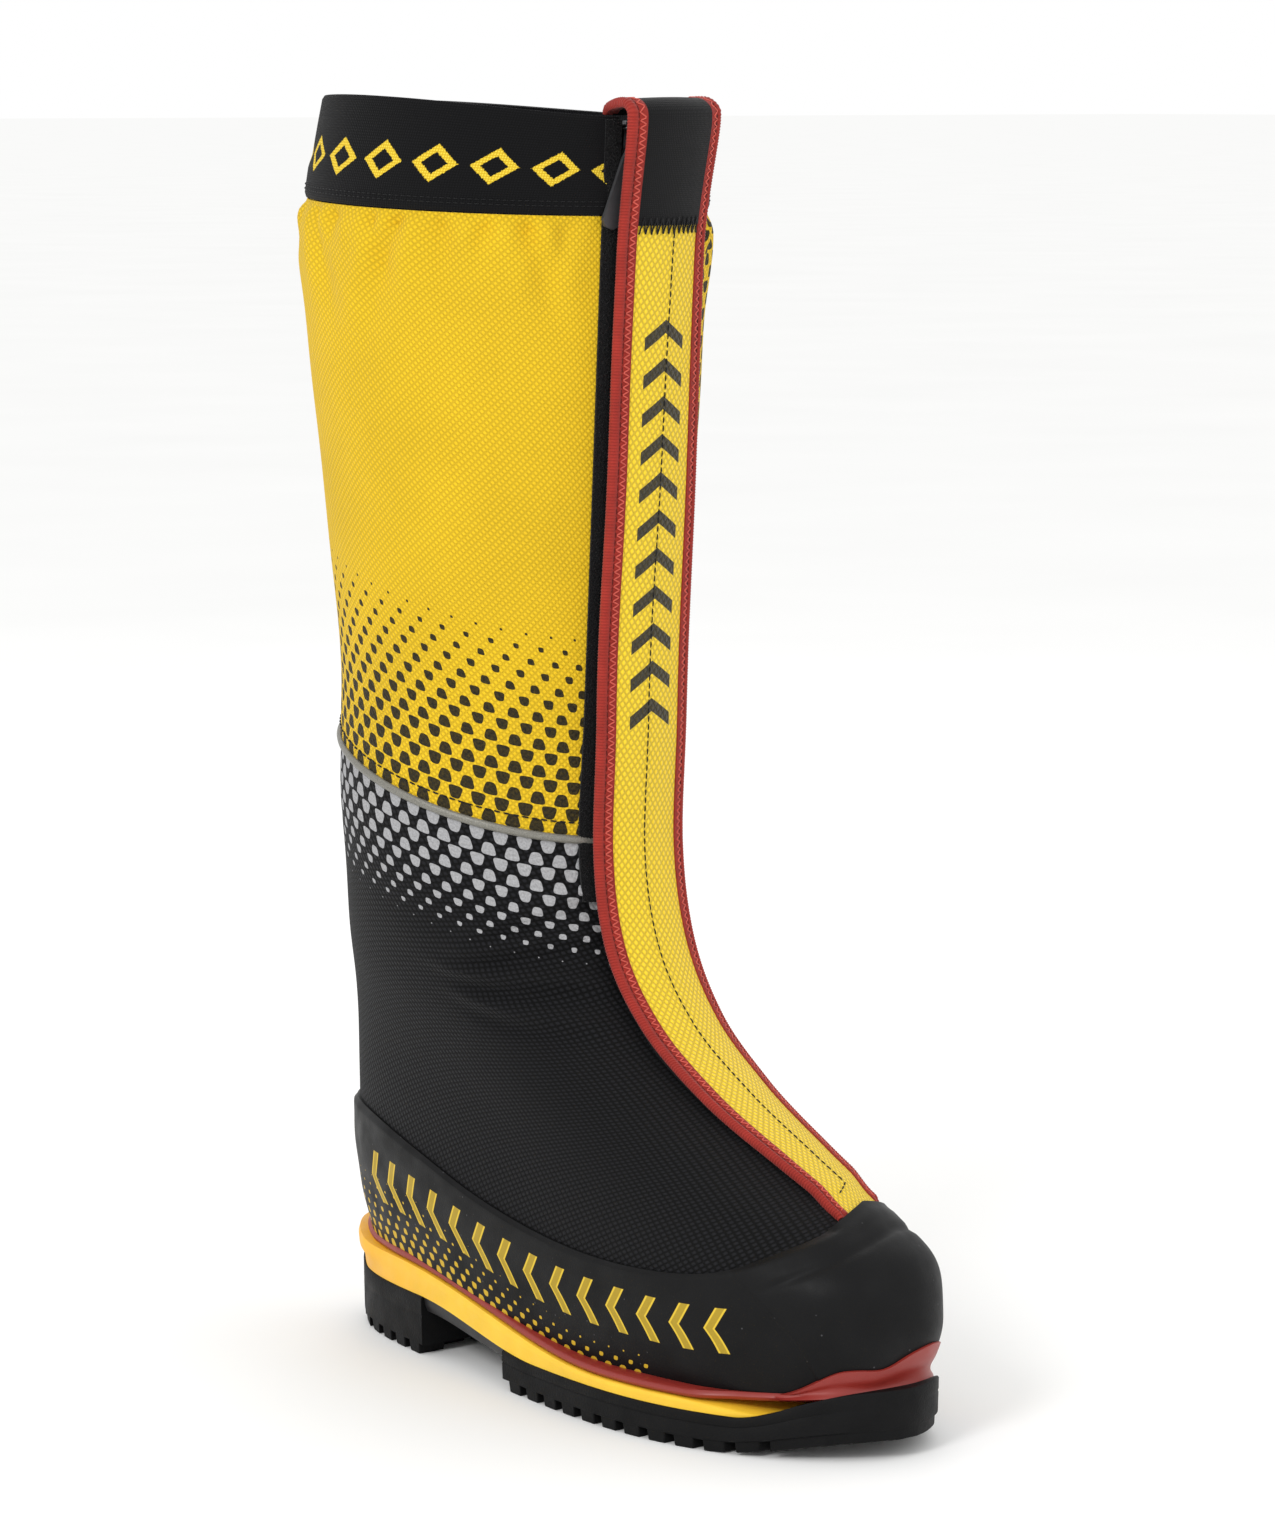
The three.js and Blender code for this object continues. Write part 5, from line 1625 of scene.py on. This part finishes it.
# The padding's simulation: its frames, the farthest a point may move and its mesh size, mm.
SWELL_FRAMES = 16
SWELL_CAP = 1.6
SWELL_VOXEL = 4.5


def build_inner_boots():
    """The shell boot's even wall, and the inner boot's wall, quilted by two sines and with a
    rounded collar, which is filled by a simulation of its padding."""
    q = np.linspace(0, 1, 180, endpoint=False)[:, None]
    j = np.linspace(0, 1, 90)[None, :]
    v = lerp(0.02, pipe_line(q) - 0.003, j)
    q = q + 0 * j
    made = shell("shell_boot_laminate", q, v, *SHELL_WALL, [MATERIALS["shell_laminate"]], closed=True)
    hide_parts("shell_boot")

    v = lerp(0.03, liner_line(q), j)
    quilt = 0.5 * np.abs(np.sin(q * 26)) * np.abs(np.sin(v * 40))
    lip = 1.6 * (1 - smooth(j, 0.9, 1.0) ** 2) - 1.6
    liner = shell("inner_boot_padding", q, v, LINER_WALL[0] + lip + quilt * 0.4,
                  LINER_WALL[1] - lip - quilt, [MATERIALS["liner_foam"]], closed=True, body=None)
    swollen(liner)
    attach(liner, "boot")
    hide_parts("inner_boot")
    dress("insole_board", "carbon_board")
    dress("inner_boot_sole", "liner_foam")
    dress("footbed", "footbed_felt")


def swollen(made):
    """Fills the padding: a remeshed copy is blown up as cloth, its move is capped, and the
    result is kept as the mesh."""
    bpy.context.view_layer.objects.active = made
    made.select_set(True)
    made.data.remesh_voxel_size = SWELL_VOXEL * MM
    bpy.ops.object.voxel_remesh()
    before = np.zeros(len(made.data.vertices) * 3, np.float32)
    made.data.vertices.foreach_get("co", before)
    cloth = made.modifiers.new("Filling", "CLOTH")
    cloth.settings.use_pressure = True
    cloth.settings.uniform_pressure_force = 4.0
    cloth.settings.effector_weights.gravity = 0.0
    cloth.point_cache.frame_end = SWELL_FRAMES + 1
    for step in range(1, SWELL_FRAMES + 1):
        bpy.context.scene.frame_set(step)
    graph = bpy.context.evaluated_depsgraph_get()
    after = np.zeros(len(before), np.float32)
    made.evaluated_get(graph).data.vertices.foreach_get("co", after)
    made.modifiers.remove(cloth)
    bpy.context.scene.frame_set(1)
    move = (after - before).reshape(-1, 3)
    far = np.linalg.norm(move, axis=1, keepdims=True)
    move *= np.minimum(1, SWELL_CAP * MM / np.maximum(far, 1e-9))
    settled = before.reshape(-1, 3) + move
    made.data.vertices.foreach_set("co", settled.astype(np.float32).ravel())
    made.data.shade_smooth()
    made.select_set(False)
    finer = made.modifiers.new("Smooth", "SUBSURF")
    finer.levels = finer.render_levels = 1


# ---------------------------------------------------------------- stage
CAMERA_AZIMUTH = math.radians(-39)
CAMERA_ELEVATION = math.radians(7.652)
CAMERA_FAR = 2.0
CAMERA_TARGET = (0.0, 0.0, 0.25)
CAMERA_LENS = 141.8
CAMERA_SENSOR = 36
CAMERA_SHIFT = (0.0112, 0.0064)
FLOOR_HALF = 80.0

# Softboxes: place, width in metres and power as a share of the key light's.
SOFTBOXES = {
    "key_softbox": ((-1.9, -0.7, 1.5), 0.7, 1.0),
    "front_softbox": ((0.5, -2.3, 1.4), 1.2, 0.25),
    "rim_softbox": ((1.3, 1.4, 1.6), 1.2, 0.25),
}


def build_floor():
    """A square of matt white paper, even but for a trace of grain."""
    made, tree = new_material("Matt_paper_white")
    grain = mottle(tree, put(tree, "TexCoord", out="Object"), 400, 0.98, 1.0)
    color = put(tree, "VectorMath", {0: linear("FBFBFA")[:3], 1: grain}, operation="MULTIPLY")
    finish_material(tree, color, 0.95, **{"Specular IOR Level": 0.0})
    mesh = bpy.data.meshes.new("studio_floor")
    corners = [(x * FLOOR_HALF, y * FLOOR_HALF, 0) for x, y in ((-1, -1), (1, -1), (1, 1), (-1, 1))]
    mesh.from_pydata(corners, [], [(0, 1, 2, 3)])
    mesh.materials.append(made)
    floor = bpy.data.objects.new("studio_floor", mesh)
    bpy.context.scene.collection.objects.link(floor)


def build_stage():
    """The floor, an even white surround, three softboxes that face the boot, and the camera on
    a sphere round it."""
    scene = bpy.context.scene
    build_floor()
    scene.world = bpy.data.worlds.new("Studio")
    scene.world.use_nodes = True
    back = scene.world.node_tree.nodes["Background"]
    back.inputs["Color"].default_value = (1, 1, 1, 1)
    back.inputs["Strength"].default_value = scene.boot_looks.fill_light

    target = Vector(CAMERA_TARGET)
    for label, (place, width, share) in SOFTBOXES.items():
        data = bpy.data.lights.new(label, "AREA")
        data.shape = "DISK"
        data.size = width
        data.energy = scene.boot_looks.key_light * share
        lamp = bpy.data.objects.new(label, data)
        lamp.location = place
        lamp.rotation_euler = (target - Vector(place)).to_track_quat("-Z", "Y").to_euler()
        scene.collection.objects.link(lamp)

    data = bpy.data.cameras.new("camera")
    data.sensor_fit = "HORIZONTAL"
    data.sensor_width = CAMERA_SENSOR
    data.lens = CAMERA_LENS
    data.shift_x, data.shift_y = CAMERA_SHIFT
    flat = math.cos(CAMERA_ELEVATION)
    away = Vector((math.sin(CAMERA_AZIMUTH) * flat, -math.cos(CAMERA_AZIMUTH) * flat,
                   math.sin(CAMERA_ELEVATION)))
    camera = bpy.data.objects.new("camera", data)
    camera.location = target + away * CAMERA_FAR
    camera.rotation_euler = (-away).to_track_quat("-Z", "Y").to_euler()
    scene.collection.objects.link(camera)
    scene.camera = camera
    scene.view_settings.view_transform = "Standard"


# ---------------------------------------------------------------- add-on
def color_setting(label, words, code):
    """A colour property whose default is given in sRGB hex digits."""
    return bpy.props.FloatVectorProperty(
        name=label, description=words, subtype="COLOR", size=3, min=0, max=1, default=linear(code)[:3])


def length_setting(label, words, size, low, high):
    """A length property, with its default and its limits given in mm."""
    return bpy.props.FloatProperty(
        name=label, description=words, unit="LENGTH", default=size * MM, min=low * MM, max=high * MM)


class BOOT_PG_looks(bpy.types.PropertyGroup):
    """Sizes, colours and lights that can be set before the boot is built."""
    yellow_cloth: color_setting("Yellow cloth", "Colour of the upper gaiter", "DCB51C")
    flap_cloth: color_setting("Flap mesh", "Colour of the flap's yellow mesh", "F0CC22")
    black_cloth: color_setting("Black cloth", "Colour of the lower gaiter", "0C0C0E")
    dark_ink: color_setting("Dark print", "Colour of the print on the yellow cloth", "1B1A15")
    grey_ink: color_setting("Grey print", "Colour of the dots on the black cloth", "A5A5A7")
    knot_pitch: length_setting("Knot pitch", "Distance between the yellow cloth's knots", 1.9, 0.5, 6)
    dot_pitch: length_setting("Dot pitch", "Distance between the printed dots of a row", 9.6, 3, 30)
    dot_row: length_setting("Dot rows", "Distance between the rows of printed dots", 5.4, 2, 20)
    thread: length_setting("Thread", "Half the thickness of the sewing thread", 0.3, 0.1, 1)
    key_light: bpy.props.FloatProperty(
        name="Key light", description="Power of the main softbox", default=18, min=0, soft_max=200,
        unit="POWER")
    fill_light: bpy.props.FloatProperty(
        name="Fill light", description="Strength of the white surroundings", default=1.0, min=0,
        soft_max=3)


class BOOT_OT_finishes(bpy.types.Operator):
    """Makes every finish of the boot from the settings"""
    bl_idname = "boot.finishes"
    bl_label = "Finishes"

    def execute(self, context):
        make_materials()
        return {"FINISHED"}


class BOOT_OT_lower_gaiter(bpy.types.Operator):
    """Builds the black cloth of the gaiter, with its ankle creases and grey dots"""
    bl_idname = "boot.lower_gaiter"
    bl_label = "Lower gaiter"

    def execute(self, context):
        build_lower_gaiter()
        return {"FINISHED"}


class BOOT_OT_upper_gaiter(bpy.types.Operator):
    """Builds the yellow cloth of the gaiter, gathered under the elastic"""
    bl_idname = "boot.upper_gaiter"
    bl_label = "Upper gaiter"

    def execute(self, context):
        build_upper_gaiter()
        return {"FINISHED"}


class BOOT_OT_cuff(bpy.types.Operator):
    """Builds the elastic band round the top and its seam"""
    bl_idname = "boot.cuff"
    bl_label = "Cuff band"

    def execute(self, context):
        build_cuff()
        return {"FINISHED"}


class BOOT_OT_piping(bpy.types.Operator):
    """Builds the reflective piping between the two cloths and the seam above it"""
    bl_idname = "boot.piping"
    bl_label = "Piping"

    def execute(self, context):
        build_piping()
        return {"FINISHED"}


class BOOT_OT_rubber(bpy.types.Operator):
    """Builds the rubber rand and the toe cap"""
    bl_idname = "boot.rubber"
    bl_label = "Rand and toe cap"

    def execute(self, context):
        build_rand()
        build_toe_cap()
        return {"FINISHED"}


class BOOT_OT_welt(bpy.types.Operator):
    """Builds the red welt at the toe"""
    bl_idname = "boot.welt"
    bl_label = "Toe welt"

    def execute(self, context):
        build_welt()
        return {"FINISHED"}


class BOOT_OT_flap(bpy.types.Operator):
    """Builds the storm flap's mesh, its neoprene tab and their seams"""
    bl_idname = "boot.flap"
    bl_label = "Storm flap"

    def execute(self, context):
        build_flap()
        return {"FINISHED"}


class BOOT_OT_bindings(bpy.types.Operator):
    """Builds the red tapes folded over the flap's edges, with their stitching"""
    bl_idname = "boot.bindings"
    bl_label = "Bindings"

    def execute(self, context):
        for side, sign in (("lateral", 1), ("medial", -1)):
            build_binding(side, sign)
        return {"FINISHED"}


class BOOT_OT_strips(bpy.types.Operator):
    """Builds the hook and loop strips and the neoprene that hinges the flap"""
    bl_idname = "boot.strips"
    bl_label = "Strips and web"

    def execute(self, context):
        build_strips()
        return {"FINISHED"}


class BOOT_OT_zip(bpy.types.Operator):
    """Builds the zip's tapes and teeth, and finishes its slider, pull and stops"""
    bl_idname = "boot.zip"
    bl_label = "Zip"

    def execute(self, context):
        build_zip()
        return {"FINISHED"}


class BOOT_OT_midsole(bpy.types.Operator):
    """Builds the red frame line and the yellow foam wedge"""
    bl_idname = "boot.midsole"
    bl_label = "Midsole"

    def execute(self, context):
        build_midsole()
        return {"FINISHED"}


class BOOT_OT_outsole(bpy.types.Operator):
    """Builds the outsole's slabs, its lugs and the shank's cover"""
    bl_idname = "boot.outsole"
    bl_label = "Outsole"

    def execute(self, context):
        build_outsole()
        return {"FINISHED"}


class BOOT_OT_inner_boots(bpy.types.Operator):
    """Builds the shell boot and the padded inner boot, and finishes the footbed"""
    bl_idname = "boot.inner_boots"
    bl_label = "Inner boots"

    def execute(self, context):
        build_inner_boots()
        return {"FINISHED"}


class BOOT_OT_stage(bpy.types.Operator):
    """Builds the floor, the lights and the camera"""
    bl_idname = "boot.stage"
    bl_label = "Stage"

    def execute(self, context):
        build_stage()
        return {"FINISHED"}


PIECES = (BOOT_OT_finishes, BOOT_OT_lower_gaiter, BOOT_OT_upper_gaiter, BOOT_OT_cuff, BOOT_OT_piping,
          BOOT_OT_rubber, BOOT_OT_welt, BOOT_OT_flap, BOOT_OT_bindings, BOOT_OT_strips, BOOT_OT_zip,
          BOOT_OT_midsole, BOOT_OT_outsole, BOOT_OT_inner_boots, BOOT_OT_stage)


class BOOT_PT_pieces(bpy.types.Panel):
    """The settings and the pieces, in the order in which they are built"""
    bl_idname = "BOOT_PT_pieces"
    bl_label = "Mountaineering boot"
    bl_space_type = "VIEW_3D"
    bl_region_type = "UI"
    bl_category = "Boot"

    def draw(self, context):
        looks = context.scene.boot_looks
        for setting in BOOT_PG_looks.__annotations__:
            self.layout.prop(looks, setting)
        for made in PIECES:
            self.layout.operator(made.bl_idname)


CLASSES = (BOOT_PG_looks, *PIECES, BOOT_PT_pieces)


def register():
    for made in CLASSES:
        bpy.utils.register_class(made)
    bpy.types.Scene.boot_looks = bpy.props.PointerProperty(type=BOOT_PG_looks)


def unregister():
    del bpy.types.Scene.boot_looks
    for made in reversed(CLASSES):
        bpy.utils.unregister_class(made)


def main():
    register()
    bpy.ops.boot.finishes()
    bpy.ops.boot.lower_gaiter()
    bpy.ops.boot.upper_gaiter()
    bpy.ops.boot.cuff()
    bpy.ops.boot.piping()
    bpy.ops.boot.rubber()
    bpy.ops.boot.welt()
    bpy.ops.boot.flap()
    bpy.ops.boot.bindings()
    bpy.ops.boot.strips()
    bpy.ops.boot.zip()
    bpy.ops.boot.midsole()
    bpy.ops.boot.outsole()
    bpy.ops.boot.inner_boots()
    bpy.ops.boot.stage()


if __name__ == "__main__":
    main()
